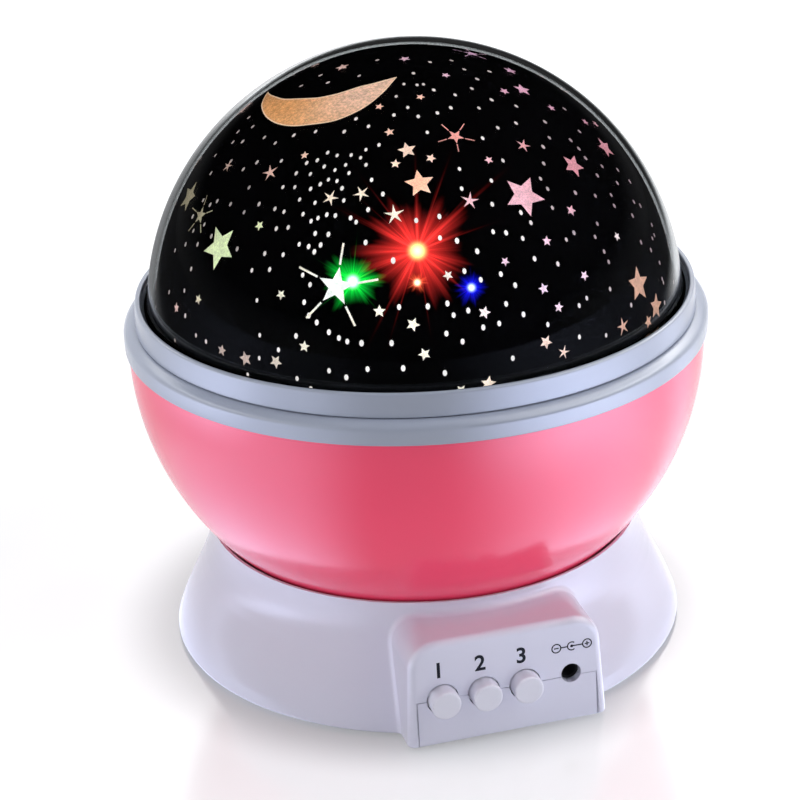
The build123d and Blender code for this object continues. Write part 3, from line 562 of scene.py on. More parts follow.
@dataclass(frozen=True)
class Metal:
    """Plated or drawn metal with fine marks."""

    name: str
    colour: Colour
    roughness: float = 0.3
    mark_mm: float = 0.3

    def material(self) -> bpy.types.Material:
        """Builds the material.

        Returns:
            The material.
        """
        shade = Shading(self.name)
        marks = shade.noise(self.mark_mm, 4.0)
        return shade.finish(
            Base_Color=shade.blend(shade.patches(3.0, 0.0, 1.0, 3.0), dimmed(self.colour, 0.8), self.colour),
            Metallic=1.0,
            Roughness=shade.span(marks, 0.3, 0.7, (self.roughness * 0.75, self.roughness * 1.3)),
            Normal=shade.bump(marks, 0.004),
        )


@dataclass(frozen=True)
class LampLens:
    """Epoxy lens of a small lamp, glowing from its die."""

    name: str
    colour: Colour
    glow: float = 0.8
    clear: float = 0.6

    def material(self) -> bpy.types.Material:
        """Builds the material.

        Returns:
            The material.
        """
        shade = Shading(self.name)
        return shade.finish(
            Base_Color=shade.blend(shade.noise(1.2, 2.0), self.colour, srgb(250, 250, 250)),
            Roughness=shade.patches(0.8, 0.05, 0.12),
            Transmission_Weight=self.clear,
            IOR=1.5,
            Emission_Color=self.colour,
            Emission_Strength=self.glow,
            Normal=shade.bump(shade.noise(0.6, 1.0), 0.003),
        )


@dataclass(frozen=True)
class BoardLacquer:
    """Lacquered circuit board with the weave of its glass cloth showing faintly."""

    name: str
    colour: Colour
    weave_mm: float = 0.5

    def material(self) -> bpy.types.Material:
        """Builds the material.

        Returns:
            The material.
        """
        shade = Shading(self.name)
        bands = {"wave_type": "BANDS", "bands_direction": "DIAGONAL"}
        scale = 1 / (self.weave_mm * 6 * MM)
        place = shade.place
        wave = shade.result("ShaderNodeTexWave", "Fac", bands, Vector=place, Scale=scale, Distortion=1.5)
        return shade.finish(
            Base_Color=shade.blend(shade.noise(4.0, 3.0), dimmed(self.colour, 0.82), self.colour),
            Roughness=shade.patches(1.5, 0.28, 0.42),
            Normal=shade.bump(wave, 0.004),
        )


@dataclass(frozen=True)
class CellJacket:
    """Printed jacket of a battery cell: a dark sleeve with a copper-coloured shoulder."""

    name: str = "cell jacket"
    sleeve: Colour = srgb(46, 50, 58)
    shoulder: Colour = srgb(186, 118, 62)
    shoulder_at: float = 8.0

    def material(self) -> bpy.types.Material:
        """Builds the material.

        Returns:
            The material.
        """
        shade = Shading(self.name)
        along = shade.split(shade.place)[0]
        band = shade.span(along, self.shoulder_at * MM, (self.shoulder_at + 0.2) * MM)
        scuffed = shade.blend(shade.span(shade.noise(1.2, 5.0), 0.55, 0.8), self.sleeve, srgb(90, 94, 102))
        return shade.finish(
            Base_Color=shade.blend(band, scuffed, self.shoulder),
            Metallic=0.35,
            Roughness=shade.patches(2.0, 0.25, 0.4, 3.0),
            Normal=shade.bump(shade.noise(0.5, 2.0), 0.004),
        )


class Paintbox:
    """Every material of the night light, each built once."""

    def __init__(self) -> None:
        """Builds the materials."""
        self.white = MouldedPlastic("white plastic", srgb(200, 200, 219), 0.15, 0.5, 0.02).material()
        # Ring and tray plastic: a darker copy of the white plastic, partly a greyer tone of its own and
        # partly painted shade.
        self.rim = MouldedPlastic("grey white plastic with painted shade", srgb(160, 167, 185), 0.2, 0.6, 0.02).material()
        self.pink = MouldedPlastic("pink plastic", srgb(250, 72, 110), 0.17, 0.5, 0.03).material()
        self.cap = MouldedPlastic("button plastic", srgb(206, 206, 220), 0.36, 0.45, 0.02).material()
        self.clear = ClearStyrene().material()
        self.film = FilmPrintAndPaintedGlints().material()
        # Painted lamp light on the star windows, coloured after the nearby lamp glows.
        stars = (
            Tint(-16.0, 50.0, 40.0, srgb(244, 192, 170)),
            Tint(-34.0, 44.0, 20.0, srgb(242, 214, 188)),
            Tint(-14.0, 20.0, 44.0, srgb(255, 249, 232)),
            Tint(-45.0, 20.0, 22.0, srgb(236, 230, 210)),
            Tint(-58.0, 6.0, 20.0, srgb(190, 168, 156)),
            Tint(-66.0, 30.0, 20.0, srgb(212, 226, 176)),
            Tint(-90.0, 34.0, 22.0, srgb(146, 136, 110)),
            Tint(-70.0, 48.0, 13.0, srgb(200, 160, 148)),
            Tint(17.0, 26.0, 26.0, srgb(242, 214, 234)),
            Tint(12.0, 42.0, 18.0, srgb(240, 186, 198)),
            Tint(46.0, 46.0, 28.0, srgb(200, 130, 140)),
            Tint(60.0, 62.0, 22.0, srgb(208, 150, 174)),
            Tint(42.0, 12.0, 24.0, srgb(196, 150, 126)),
            Tint(39.0, 26.0, 8.0, srgb(232, 212, 210)),
            Tint(10.0, 6.0, 16.0, srgb(240, 208, 190)),
            Tint(60.0, 80.0, 18.0, srgb(224, 176, 208)),
            Tint(-33.0, 25.5, 8.0, srgb(252, 255, 250)),
            Tint(-14.5, 47.5, 6.0, srgb(255, 198, 166)),
            Tint(2.5, 57.0, 8.0, srgb(236, 158, 148)),
        )
        self.stars = WindowPrintWithPaintedGlow("star windows", srgb(226, 186, 176), stars, 1.15).material()
        # Painted lamp light on the dots: brightest in front, dimmer to either side.
        dots = (
            Tint(-14.0, 26.0, 64.0, srgb(255, 250, 246)),
            Tint(48.0, 34.0, 36.0, srgb(170, 146, 152)),
            Tint(-74.0, 36.0, 26.0, srgb(176, 166, 162)),
        )
        self.dots = WindowPrintWithPaintedGlow("dot windows", srgb(206, 186, 184), dots, 1.0, 0.3, (0.92, 1.05)).material()
        # Painted lamp light across the moon window.
        moon = (Tint(-40.0, 76.0, 22.0, srgb(240, 194, 168)), Tint(-96.0, 62.0, 20.0, srgb(230, 160, 98)))
        self.moon = WindowPrintWithPaintedGlow(
            "moon window", srgb(234, 172, 116), moon, 0.95, 0.35, (0.66, 1.1), 0.55, outlined=True
        ).material()
        self.rubber = MouldedPlastic("foot rubber", srgb(58, 58, 62), 0.75, 0.25, 0.12, 0.4, 0.02).material()
        self.pom = MouldedPlastic("gear plastic", srgb(232, 230, 222), 0.38, 0.45, 0.04).material()
        self.dark = MouldedPlastic("dark plastic", srgb(26, 26, 30), 0.45, 0.4, 0.15, 0.3, 0.008).material()
        self.board = BoardLacquer("board lacquer", srgb(30, 104, 62)).material()
        self.white_board = BoardLacquer("white board lacquer", srgb(232, 234, 232)).material()
        self.screw = Metal("screw steel", srgb(196, 198, 202), 0.28).material()
        self.motor = Metal("motor steel", srgb(170, 172, 176), 0.38, 0.6).material()
        self.contact = Metal("contact plating", srgb(205, 203, 196), 0.25).material()
        self.brass = Metal("brass", srgb(212, 176, 98), 0.3).material()
        self.cells = CellJacket().material()
        self.lamps = {
            "clear": LampLens("clear lens", srgb(235, 240, 250), 0.55, 0.8).material(),
            "red": LampLens("red lens", srgb(240, 40, 30), 0.8).material(),
            "green": LampLens("green lens", srgb(40, 220, 80), 0.7).material(),
            "blue": LampLens("blue lens", srgb(50, 70, 245), 0.8).material(),
        }
        self.wire = MouldedPlastic("wire skin", srgb(176, 34, 34), 0.4, 0.45, 0.1).material()
        self.ink = MouldedPlastic("printed ink", srgb(14, 15, 26), 0.6, 0.15, 0.15, 0.12, 0.004).material()


# ---- mesh tools ------------------------------------------------------------------------------
def placed(name: str, data: bpy.types.ID) -> bpy.types.Object:
    """New object of the scene that holds a mesh, a curve, a lamp or a camera.

    Args:
        name: Name of the object.
        data: What it holds.

    Returns:
        The object.
    """
    made = bpy.data.objects.new(name, data)
    bpy.context.scene.collection.objects.link(made)
    return made


def rounded(corners: Sequence[tuple[float, ...]], steps: int = 5) -> Outline:
    """Closed outline whose corners are rounded.

    Args:
        corners: Points as (x, z) or (x, z, radius of the rounding).
        steps: Straight steps round each corner.

    Returns:
        The outline's points.
    """
    points: Outline = []
    for i, corner in enumerate(corners):
        here = Vector(corner[:2])
        before, after = Vector(corners[i - 1][:2]) - here, Vector(corners[(i + 1) % len(corners)][:2]) - here
        radius = corner[2] if len(corner) > 2 else 0.0
        half = before.angle(after, math.pi) / 2
        if radius <= 0 or half > 1.55:
            points.append(tuple(here))
            continue
        reach = min(radius / math.tan(half), before.length * 0.48, after.length * 0.48)
        start, end = here + before.normalized() * reach, here + after.normalized() * reach
        for k in range(steps + 1):
            t = k / steps
            points.append(tuple(start * (1 - t) ** 2 + here * 2 * t * (1 - t) + end * t**2))
    return points


def arc(centre_x: float, centre_z: float, radius: float, z0: float, z1: float, steps: int) -> Outline:
    """Points on the outer side of a circle, between two heights.

    Args:
        centre_x: Centre's distance from the axis.
        centre_z: Centre's height.
        radius: Radius of the circle.
        z0: Height of the first point.
        z1: Height of the last point.
        steps: Steps between them.

    Returns:
        The points, evenly spaced along the circle.
    """
    a0, a1 = (math.asin(max(-1.0, min(1.0, (z - centre_z) / radius))) for z in (z0, z1))
    angles = [a0 + (a1 - a0) * k / steps for k in range(steps + 1)]
    return [(centre_x + radius * math.cos(a), centre_z + radius * math.sin(a)) for a in angles]


def settle_mesh(name: str, mesh_maker: bmesh.types.BMesh, sharp: float = 40.0) -> bpy.types.Object:
    """Closes a mesh, turns its faces outwards and shades it smooth up to its sharp edges.

    Args:
        name: Name of the piece.
        mesh_maker: The mesh in millimetres.
        sharp: Angle over which an edge stays sharp.

    Returns:
        The piece, in metres.
    """
    bmesh.ops.remove_doubles(mesh_maker, verts=mesh_maker.verts, dist=1e-4)
    bmesh.ops.recalc_face_normals(mesh_maker, faces=mesh_maker.faces)
    bmesh.ops.scale(mesh_maker, vec=(MM, MM, MM), verts=mesh_maker.verts)
    mesh = bpy.data.meshes.new(name)
    mesh_maker.to_mesh(mesh)
    mesh_maker.free()
    mesh.shade_smooth()
    mesh.set_sharp_from_angle(angle=math.radians(sharp))
    return placed(name, mesh)


def turned(name: str, outline: Outline, steps: int, place: Matrix = Matrix.Identity(4)) -> bpy.types.Object:
    """Piece turned on the vertical axis from a closed outline.

    Args:
        name: Name of the piece.
        outline: Points as (radius, height).
        steps: Facets round the axis.
        place: Where the turned form goes.

    Returns:
        The piece.
    """
    made = bmesh.new()
    rows = []
    for radius, height in outline:
        turn = [2 * math.pi * k / steps for k in range(steps)]
        rows.append([made.verts.new((radius * math.cos(a), radius * math.sin(a), height)) for a in turn])
    for i, row in enumerate(rows):
        other = rows[(i + 1) % len(rows)]
        for k in range(steps):
            made.faces.new((row[k - 1], row[k], other[k], other[k - 1]))
    bmesh.ops.transform(made, matrix=place, verts=made.verts)
    return settle_mesh(name, made)


def slab(name: str, low: Sequence[float], high: Sequence[float], place: Matrix) -> bpy.types.Object:
    """Rectangular block between two corners, used for webs, tabs and cutters.

    Args:
        name: Name of the block.
        low: Lowest corner.
        high: Highest corner.
        place: Where it goes.

    Returns:
        The block.
    """
    made = bmesh.new()
    bmesh.ops.create_cube(made, size=1.0)
    size, mid = Vector(high) - Vector(low), (Vector(high) + Vector(low)) / 2
    grown = Matrix.Translation(mid) @ Matrix.Diagonal((*size, 1))
    bmesh.ops.transform(made, matrix=place @ grown, verts=made.verts)
    return settle_mesh(name, made)


def baked(piece: bpy.types.Object) -> bpy.types.Object:
    """Applies a piece's modifiers to its mesh.

    Args:
        piece: The piece.

    Returns:
        The same piece with a plain mesh and no modifiers.
    """
    bpy.context.view_layer.update()
    mesh = bpy.data.meshes.new_from_object(piece.evaluated_get(bpy.context.evaluated_depsgraph_get()))
    piece.modifiers.clear()
    piece.data = mesh
    mesh.name = piece.name
    return piece


def carve(
    piece: bpy.types.Object, tools: Sequence[bpy.types.Object], how: str = "DIFFERENCE"
) -> bpy.types.Object:
    """Cuts tools out of a piece, or joins them to it, and removes the tools.

    Args:
        piece: The piece.
        tools: Closed forms.
        how: "DIFFERENCE" or "UNION".

    Returns:
        The piece.
    """
    for tool in tools:
        cut = piece.modifiers.new("carve", "BOOLEAN")
        cut.operation, cut.object, cut.solver = how, tool, "EXACT"
    baked(piece)
    for tool in tools:
        bpy.data.objects.remove(tool)
    made = bmesh.new()
    made.from_mesh(piece.data)
    bmesh.ops.remove_doubles(made, verts=made.verts, dist=1e-6)
    bmesh.ops.dissolve_degenerate(made, dist=1e-6, edges=made.edges)
    made.to_mesh(piece.data)
    made.free()
    piece.data.set_sharp_from_angle(angle=math.radians(40))
    return piece


def smooth_copy(node: str, name: str, sharp: float = 28.0) -> bpy.types.Object:
    """Merged copy of a CAD solid, shaded smooth with its flat faces kept flat.

    Args:
        node: Name of the CAD node.
        name: Name of the copy.
        sharp: Angle over which an edge stays sharp.

    Returns:
        The copy.
    """
    made = bmesh.new()
    made.from_mesh(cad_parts[node].data)
    bmesh.ops.remove_doubles(made, verts=made.verts, dist=2e-6)
    mesh = bpy.data.meshes.new(name)
    made.to_mesh(mesh)
    made.free()
    mesh.materials.clear()
    mesh.shade_smooth()
    mesh.set_sharp_from_angle(angle=math.radians(sharp))
    piece = placed(name, mesh)
    even = piece.modifiers.new("even shading", "WEIGHTED_NORMAL")
    even.keep_sharp = True
    return piece


def finish_piece(
    piece: bpy.types.Object, body: Body, paint: bpy.types.Material, stands_for: Sequence[str] = ()
) -> bpy.types.Object:
    """Paints a piece and hands it to the frame.

    Args:
        piece: The piece, in place.
        body: Body that carries it.
        paint: Its material.
        stands_for: CAD nodes that it replaces.

    Returns:
        The piece.
    """
    piece.data.materials.clear()
    piece.data.materials.append(paint)
    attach(piece, body.value)
    if stands_for:
        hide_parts(*stands_for)
    LOG.info("%s: %d faces on %s", piece.name, len(piece.data.polygons), body.value)
    return piece


def dress(nodes: Iterable[str], paint: bpy.types.Material) -> None:
    """Paints CAD nodes whose shape stays.

    Args:
        nodes: Names of the nodes.
        paint: Their material.
    """
    for name in nodes:
        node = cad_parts[name]
        if not node.material_slots:
            node.data.materials.append(paint)
        for place in node.material_slots:
            place.material = paint
        LOG.info("%s: dressed with %s", name, paint.name)


# ---- repeated forms --------------------------------------------------------------------------
class Pattern(Graph):
    """Geometry-node tree with named inputs that repeats a form and ends in a plain mesh."""

    def __init__(self, name: str) -> None:
        """Starts a tree with the given name.

        Args:
            name: Name of the tree.
        """
        super().__init__(bpy.data.node_groups.new(name, "GeometryNodeTree"))
        self.tree.interface.new_socket("Geometry", in_out="OUTPUT", socket_type="NodeSocketGeometry")
        self.start = self.node("NodeGroupInput")
        self.names: dict[str, str] = {}
        self.geometry = self.input("Geometry", "Geometry")

    def input(self, name: str, kind: str = "Float") -> Term:
        """Adds a named input.

        Args:
            name: Name of the input.
            kind: Kind of its socket.

        Returns:
            The input's value.
        """
        item = self.tree.interface.new_socket(name, in_out="INPUT", socket_type=f"NodeSocket{kind}")
        self.names[name] = item.identifier
        return Term(self, self.start.outputs[name])

    def copies(self, points: Term, form: Term, euler: Term, **inputs: Value) -> Term:
        """Puts a turned copy of a form on each point, as instances."""
        places = {"Points": points, "Rotation": self.result("FunctionNodeEulerToRotation", Euler=euler)}
        return self.result("GeometryNodeInstanceOnPoints", Instance=form, **places, **inputs)

    def about_axis(self, form: Term, count: Value, start: Value) -> Term:
        """Copies a form round the vertical axis.

        Args:
            form: The form.
            count: Number of copies.
            start: Angle of the first one.

        Returns:
            The copies as instances.
        """
        step = self.math("DIVIDE", 2 * math.pi, count)
        angle = self.result("GeometryNodeInputIndex") * step + start
        turn = self.result("ShaderNodeCombineXYZ", Z=angle)
        return self.copies(self.result("GeometryNodePoints", Count=count), form, turn)

    def on_marks(self, form: Term) -> Term:
        """Puts a form on each mark of the input, turned and stretched as the mark says.

        Args:
            form: The form.

        Returns:
            The copies as instances.
        """
        turn, size = (
            self.result("GeometryNodeInputNamedAttribute", 0, {"data_type": "FLOAT_VECTOR"}, Name=name)
            for name in ("turn", "stretch")
        )
        return self.copies(self.geometry, form, turn, Scale=size)

    def close(self, copies: Term) -> "Pattern":
        """Ends the tree in plain geometry with a material.

        Args:
            copies: The instances.

        Returns:
            The pattern itself.
        """
        paint = self.input("Material", "Material")
        plain = self.result("GeometryNodeRealizeInstances", Geometry=copies)
        painted = self.result("GeometryNodeSetMaterial", Geometry=plain, Material=paint)
        self.feed(self.node("NodeGroupOutput").inputs[0], painted)
        return self

    def grow(self, piece: bpy.types.Object, **values: object) -> bpy.types.Object:
        """Runs the tree on a piece and keeps the result as its plain mesh.

        Args:
            piece: The piece whose mesh is the input.
            **values: The tree's inputs by name, with _ for spaces.

        Returns:
            The piece.
        """
        grown = piece.modifiers.new("pattern", "NODES")
        grown.node_group = self.tree
        for name, value in values.items():
            grown[self.names[name.replace("_", " ")]] = value
        return baked(piece)


def axis_pattern() -> Pattern:
    """Pattern that repeats a form round the vertical axis.

    Returns:
        The pattern, with inputs Count, Start and Material.
    """
    pattern = Pattern("copies round the axis")
    count, start = pattern.input("Count", "Int"), pattern.input("Start")
    return pattern.close(pattern.about_axis(pattern.geometry, count, start))


def dot_pattern() -> Pattern:
    """Pattern that puts a small round window on each mark.

    Returns:
        The pattern, with inputs Corners and Material.
    """
    pattern = Pattern("round windows")
    corners = pattern.input("Corners", "Int")
    disc = pattern.result("GeometryNodeMeshCircle", 0, {"fill_type": "NGON"}, Vertices=corners, Radius=MM)
    return pattern.close(pattern.on_marks(disc))


def star_pattern(rayed: bool, ray_start: float = 1.12) -> Pattern:
    """Pattern that puts a five-pointed window on each mark.

    Args:
        rayed: Adds five dashes that carry on the star's tips.
        ray_start: Where the dashes start, in star radii from the middle.

    Returns:
        The pattern, with inputs Waist, Ray Length, Ray Width and Material.
    """
    pattern = Pattern("rayed star windows" if rayed else "star windows")
    waist = pattern.input("Waist")
    star = pattern.result("GeometryNodeCurveStar", Points=5, Inner_Radius=waist * MM, Outer_Radius=MM)
    form = pattern.result("GeometryNodeFillCurve", 0, {"mode": "TRIANGLES"}, Curve=star)
    length, width = pattern.input("Ray Length"), pattern.input("Ray Width")
    if rayed:
        size = {"Size_X": length * MM, "Size_Y": width * MM}
        dash = pattern.result("GeometryNodeMeshGrid", Vertices_X=2, Vertices_Y=2, **size)
        out = pattern.result("ShaderNodeCombineXYZ", X=(length * 0.5 + ray_start) * MM)
        moved = pattern.result("GeometryNodeTransform", Geometry=dash, Translation=out)
        both = pattern.node("GeometryNodeJoinGeometry")
        for each in (form, pattern.about_axis(moved, 5, 0.0)):
            pattern.feed(both.inputs[0], each)
        form = Term(pattern, both.outputs[0])
    return pattern.close(pattern.on_marks(form))


@dataclass(frozen=True)
class Mark:
    """Place of one window on the film."""

    bearing: float
    elevation: float
    width: float
    height: float
    spin: float = 0.0

    def point(self, lift: float) -> Vector:
        """Its point at a height over the film, in millimetres."""
        return FILM.at(self.bearing, self.elevation, lift)

    def turn(self) -> Vector:
        """Euler angles that lay a form with its first tip along +X on the film, tip to the north.

        Returns:
            The angles.
        """
        east, north, out = FILM.axes(self.bearing, self.elevation)
        stand = Matrix((north, -east, out)).transposed()
        return Vector((stand @ Matrix.Rotation(math.radians(self.spin), 3, "Z")).to_euler())


def marked(name: str, marks: Sequence[Mark], lift: float) -> bpy.types.Object:
    """Piece that holds the marks of a pattern as bare points.

    Args:
        name: Name of the piece.
        marks: The marks.
        lift: Their height over the film.

    Returns:
        The piece.
    """
    mesh = bpy.data.meshes.new(name)
    mesh.from_pydata([mark.point(lift) * MM for mark in marks], [], [])
    turn = mesh.attributes.new("turn", "FLOAT_VECTOR", "POINT")
    size = mesh.attributes.new("stretch", "FLOAT_VECTOR", "POINT")
    for i, mark in enumerate(marks):
        turn.data[i].vector = mark.turn()
        size.data[i].vector = (mark.height / 2, mark.width / 2, 1.0)
    return placed(name, mesh)


# ---- studio ----------------------------------------------------------------------------------
@dataclass
class Studio:
    """Camera, floor, surroundings and soft lamps."""

    eye: tuple[float, float, float] = (-129.5, -463.8, 267.85)
    ahead: tuple[float, float, float] = (0.2378, 0.8799, -0.4116)
    up: tuple[float, float, float] = (0.1508, 0.3851, 0.9105)
    lens: float = 109.74
    shift: tuple[float, float] = (-0.0006, 0.0006)
    floor_half: float = 4000.0
    middle: tuple[float, float, float] = (0.0, 0.0, 50.0)
    panel: tuple[float, float, float] = (0.0, -50.0, 8.0)
    lamps: tuple[tuple[str, tuple[float, float, float], float, float, float], ...] = (
        ("left soft box", (-900.0, 40.0, 400.0), 600.0, 3.4, 180.0),
        ("right soft box", (830.0, -260.0, 380.0), 600.0, 5.2, 180.0),
        ("overhead soft box", (0.0, 320.0, 1150.0), 900.0, 7.3, 180.0),
        ("low front fill", (-60.0, -520.0, 150.0), 100.0, 0.012, 16.0),
    )

    def camera(self) -> None:
        """Sets up the camera."""
        data = bpy.data.cameras.new("camera")
        data.lens, data.sensor_width, data.clip_start = self.lens, 36.0, 0.01
        data.shift_x, data.shift_y = self.shift
        eye = placed("camera", data)
        back, up = -Vector(self.ahead).normalized(), Vector(self.up)
        right = up.cross(back).normalized()
        turn = Matrix((right, back.cross(right), back)).transposed().to_4x4()
        eye.matrix_world = Matrix.Translation(Vector(self.eye) * MM) @ turn
        bpy.context.scene.camera = eye

    def floor(self) -> None:
        """Lays a pale glossy floor that keeps the object's shadow and reflection, with a painted contact
        shadow, painted shade near the object and to the left, painted bright zones for reflections and a
        painted dark mirror reflection.
        """
        made = bmesh.new()
        bmesh.ops.create_grid(made, x_segments=1, y_segments=1, size=self.floor_half)
        ground = settle_mesh("floor", made)
        shade = Shading("studio floor")
        rays = shade.rays()
        x, y, _ = shade.split(shade.place)
        way = shade.vector("LENGTH", shade.place, result="Value")
        aside, behind = x / way, y / way

        def past(value: Term, near_mm: float, far_mm: float, to: tuple[float, float] = (0.0, 1.0)) -> Term:
            """Maps a way along the floor, in metres, by two distances."""
            return shade.span(value, near_mm * MM, far_mm * MM, to)

        # Painted bright zones seen only by glossy rays, which give the object its side sheen.
        right = shade.span(aside, -0.2, 0.62) * shade.span(behind, -0.8, -0.15, (4.0, 0.85))
        right = right * shade.span(behind, 0.4, 0.0) * past(way, 60, 220, (0.55, 1.95))
        left = shade.span(aside, -0.5, -0.92) * shade.span(behind, -0.3, 0.75, (2.5, 0.1))
        far = past(way, 150, 230) * shade.span(behind, -0.45, 0.1, (0.0, 1.7))
        sheen = rays["Is Glossy Ray"] * (right + left * (1.0 + far))
        # Painted contact shadow: the floor's glow drops close round the base.
        near = shade.math("MAXIMUM", past(way, 54, 73, (0.42, 1.0)), rays["Is Glossy Ray"])
        # Painted shade: the floor glows less near the object and to the left.
        base = past(way, 70, 300, (0.62, 0.84)) * near * past(x, -160, 120, (0.93, 1.1))
        base = base * (1.0 - rays["Is Diffuse Ray"] * 0.5) * (1.0 - rays["Is Glossy Ray"] * 0.22)
        light = shade.vector("SCALE", (0.74, 0.82, 1.16), sheen)
        ground.data.materials.append(
            shade.finish(
                Base_Color=shade.blend(shade.noise(60.0), srgb(140, 142, 146), srgb(144, 146, 150)),
                Roughness=shade.patches(30.0, 0.16, 0.2),
                IOR=1.65,
                Emission_Color=shade.vector("ADD", light, shade.vector("SCALE", (0.98, 0.98, 1.0), base)),
                Emission_Strength=1.0,
            )
        )
        # Painted dark reflection: mirror rays that bounced off anything but glass see the floor almost black,
        # a little less in one zone behind the object.
        rim = past(abs(x - 60 * MM), 300, 150) * past(y, 60, 150) * past(x, -80, 90, (0.2, 0.75))
        share = rays["Is Singular Ray"] * rays["Bounced"] * (0.985 - rim)
        dark = shade.node("ShaderNodeMixShader", Fac=share)
        out = shade.tree.get_output_node("ALL").inputs["Surface"]
        shade.feed(dark.inputs[1], out.links[0].from_socket)
        shade.feed(out, dark.outputs[0])

    def surroundings(self) -> None:
        """Sets a white surround with a dim ceiling and a soft ambient light."""
        world = bpy.data.worlds.new("studio")
        bpy.context.scene.world = world
        world.use_nodes = True
        sky = Graph(world.node_tree)
        rays = sky.rays()
        x, y, z = sky.split(sky.result("ShaderNodeTexCoord", "Generated"))
        wall = ((y + abs(x) * 0.75 + 0.35) * 2.2).clip()
        sharp = rays["Is Singular Ray"]
        soft = 1.0 - sharp
        below_ceiling = ((0.7 - sharp * 0.5 - z) * 6.0).clip()
        boxes = ((abs(x) - 0.72) * 5.0).clip() * soft * 0.3
        strip = (1.0 - abs((z - 0.56) * 14.0)).clip() * wall * (soft * 5.0)
        high = ((z - 0.3) * 4.0).clip() * ((x - 0.1) * 3.0).clip() * (soft * 4.0)
        gloss = ((wall * 0.95 + boxes + strip) * below_ceiling + 0.02 + high) * (1.0 - sharp * 0.97)
        ambient = wall * 0.28 + 0.06
        through = rays["Is Transmission Ray"] * (1.0 - rays["Bounced"])
        seen = sky.math("MAXIMUM", rays["Is Camera Ray"], through * sharp)
        mirrored = sky.math("MAXIMUM", rays["Is Glossy Ray"], rays["Is Transmission Ray"]) * (1.0 - seen)
        level = seen + (mirrored * gloss + (1.0 - (seen + mirrored)) * ambient)
        back = sky.result("ShaderNodeBackground", Strength=level, Color=(1.0, 1.0, 1.0, 1.0))
        sky.node("ShaderNodeOutputWorld", Surface=back)

    def soft_boxes(self) -> None:
        """Hangs the soft lamps: the wide ones aim at the object's middle, the narrow one at its panel."""
        for name, place, size, power, spread in self.lamps:
            data = bpy.data.lights.new(name, "AREA")
            data.size, data.energy, data.spread = size * MM, power, math.radians(spread)
            lamp = placed(name, data)
            spot = Vector(place) * MM
            target = Vector(self.middle if spread > 90 else self.panel)
            aim = (spot - target * MM).to_track_quat("Z", "Y").to_matrix().to_4x4()
            lamp.matrix_world = Matrix.Translation(spot) @ aim
            lamp.visible_camera = lamp.visible_glossy = lamp.visible_transmission = False

    def build(self) -> None:
        """Sets up the whole studio."""
        bpy.context.scene.view_settings.view_transform = "Standard"
        self.camera()
        self.floor()
        self.surroundings()
        self.soft_boxes()


# ---- base ------------------------------------------------------------------------------------
@dataclass(frozen=True)
class Screws:
    """Pan-head screws with a cross recess, repeated round the axis."""

    name: str
    slot: str
    body: Body
    count: int
    start: float
    at_r: float
    head_z: float
    length: float
    up: bool
    stands_for: str
    head_t: float = 1.2
    head_r: float = 2.3
    shank_r: float = 1.15
    recess_r: float = 1.35
    recess_w: float = 0.55

    def one(self) -> bpy.types.Object:
        """One screw, on the +X axis.

        Returns:
            The screw.
        """
        outline = rounded(
            [
                (0, self.length),
                (self.shank_r, self.length, 0.25),
                (self.shank_r, 0),
                (self.head_r, 0, 0.15),
                (self.head_r, -self.head_t, 0.55),
                (0, -self.head_t),
            ]
        )
        way = Matrix.Identity(4) if self.up else Matrix.Rotation(math.pi, 4, "X")
        place = Matrix.Translation((self.at_r, 0, self.head_z)) @ way
        screw = turned(self.name, outline, 40, place)
        low, high = -self.head_t - 0.5, -self.head_t * 0.45
        bars = [
            slab("recess", (-r, -w, low), (r, w, high), place)
            for r, w in ((self.recess_r, self.recess_w / 2), (self.recess_w / 2, self.recess_r))
        ]
        return carve(screw, bars)

    def build(self, paint: bpy.types.Material, copies: Pattern) -> None:
        """Builds the row of screws with the pattern round the axis."""
        piece = copies.grow(self.one(), Count=self.count, Start=math.radians(self.start), Material=paint)
        finish_piece(piece, self.body, paint, (self.stands_for,))


@dataclass
class BaseCasing:
    """White casing with its bottom plate, feet, battery bay and drive."""

    screws: Screws = Screws(
        name="case_screw_row",
        slot="screw_steel",
        body=Body.BASE,
        count=4,
        start=45.0,
        at_r=42.997,
        head_z=1.8,
        length=10.0,
        up=True,
        stands_for="case_screws",
    )

    def shells(self, paint: bpy.types.Material) -> None:
        """Builds the casing's two mouldings in the given material."""
        for node, name in (("base_shell", "base_casing"), ("base_plate", "bottom_plate")):
            finish_piece(smooth_copy(node, name), Body.BASE, paint, (node,))

    def insides(self, paints: Paintbox) -> None:
        """Dresses what the casing holds.

        Args:
            paints: The materials.
        """
        for paint, nodes in (
            (paints.rubber, ("rubber_feet",)),
            (paints.white, ("battery_door",)),
            (paints.screw, ("door_screw", "motor_screws", "post_screws")),
            (paints.cells, ("battery_cells",)),
            (paints.contact, ("battery_contacts",)),
            (paints.pom, ("gearbox", "glide_ring", "drive_pinion", "ring_gear", "led_post")),
            (paints.pom, ("plunger_1", "plunger_2", "plunger_3")),
            (paints.motor, ("motor_can",)),
            (paints.brass, ("motor_shaft",)),
            (paints.board, ("switch_board",)),
            (paints.white_board, ("led_board",)),
            (paints.dark, ("push_switches",)),
            (paints.wire, ("led_lead", "motor_lead", "battery_lead")),
        ):
            dress(nodes, paint)

    def build(self, paints: Paintbox, copies: Pattern) -> None:
        """Builds and dresses the base.

        Args:
            paints: The materials.
            copies: The pattern round the axis.
        """
        self.shells(paints.white)
        self.screws.build(paints.screw, copies)
        self.insides(paints)


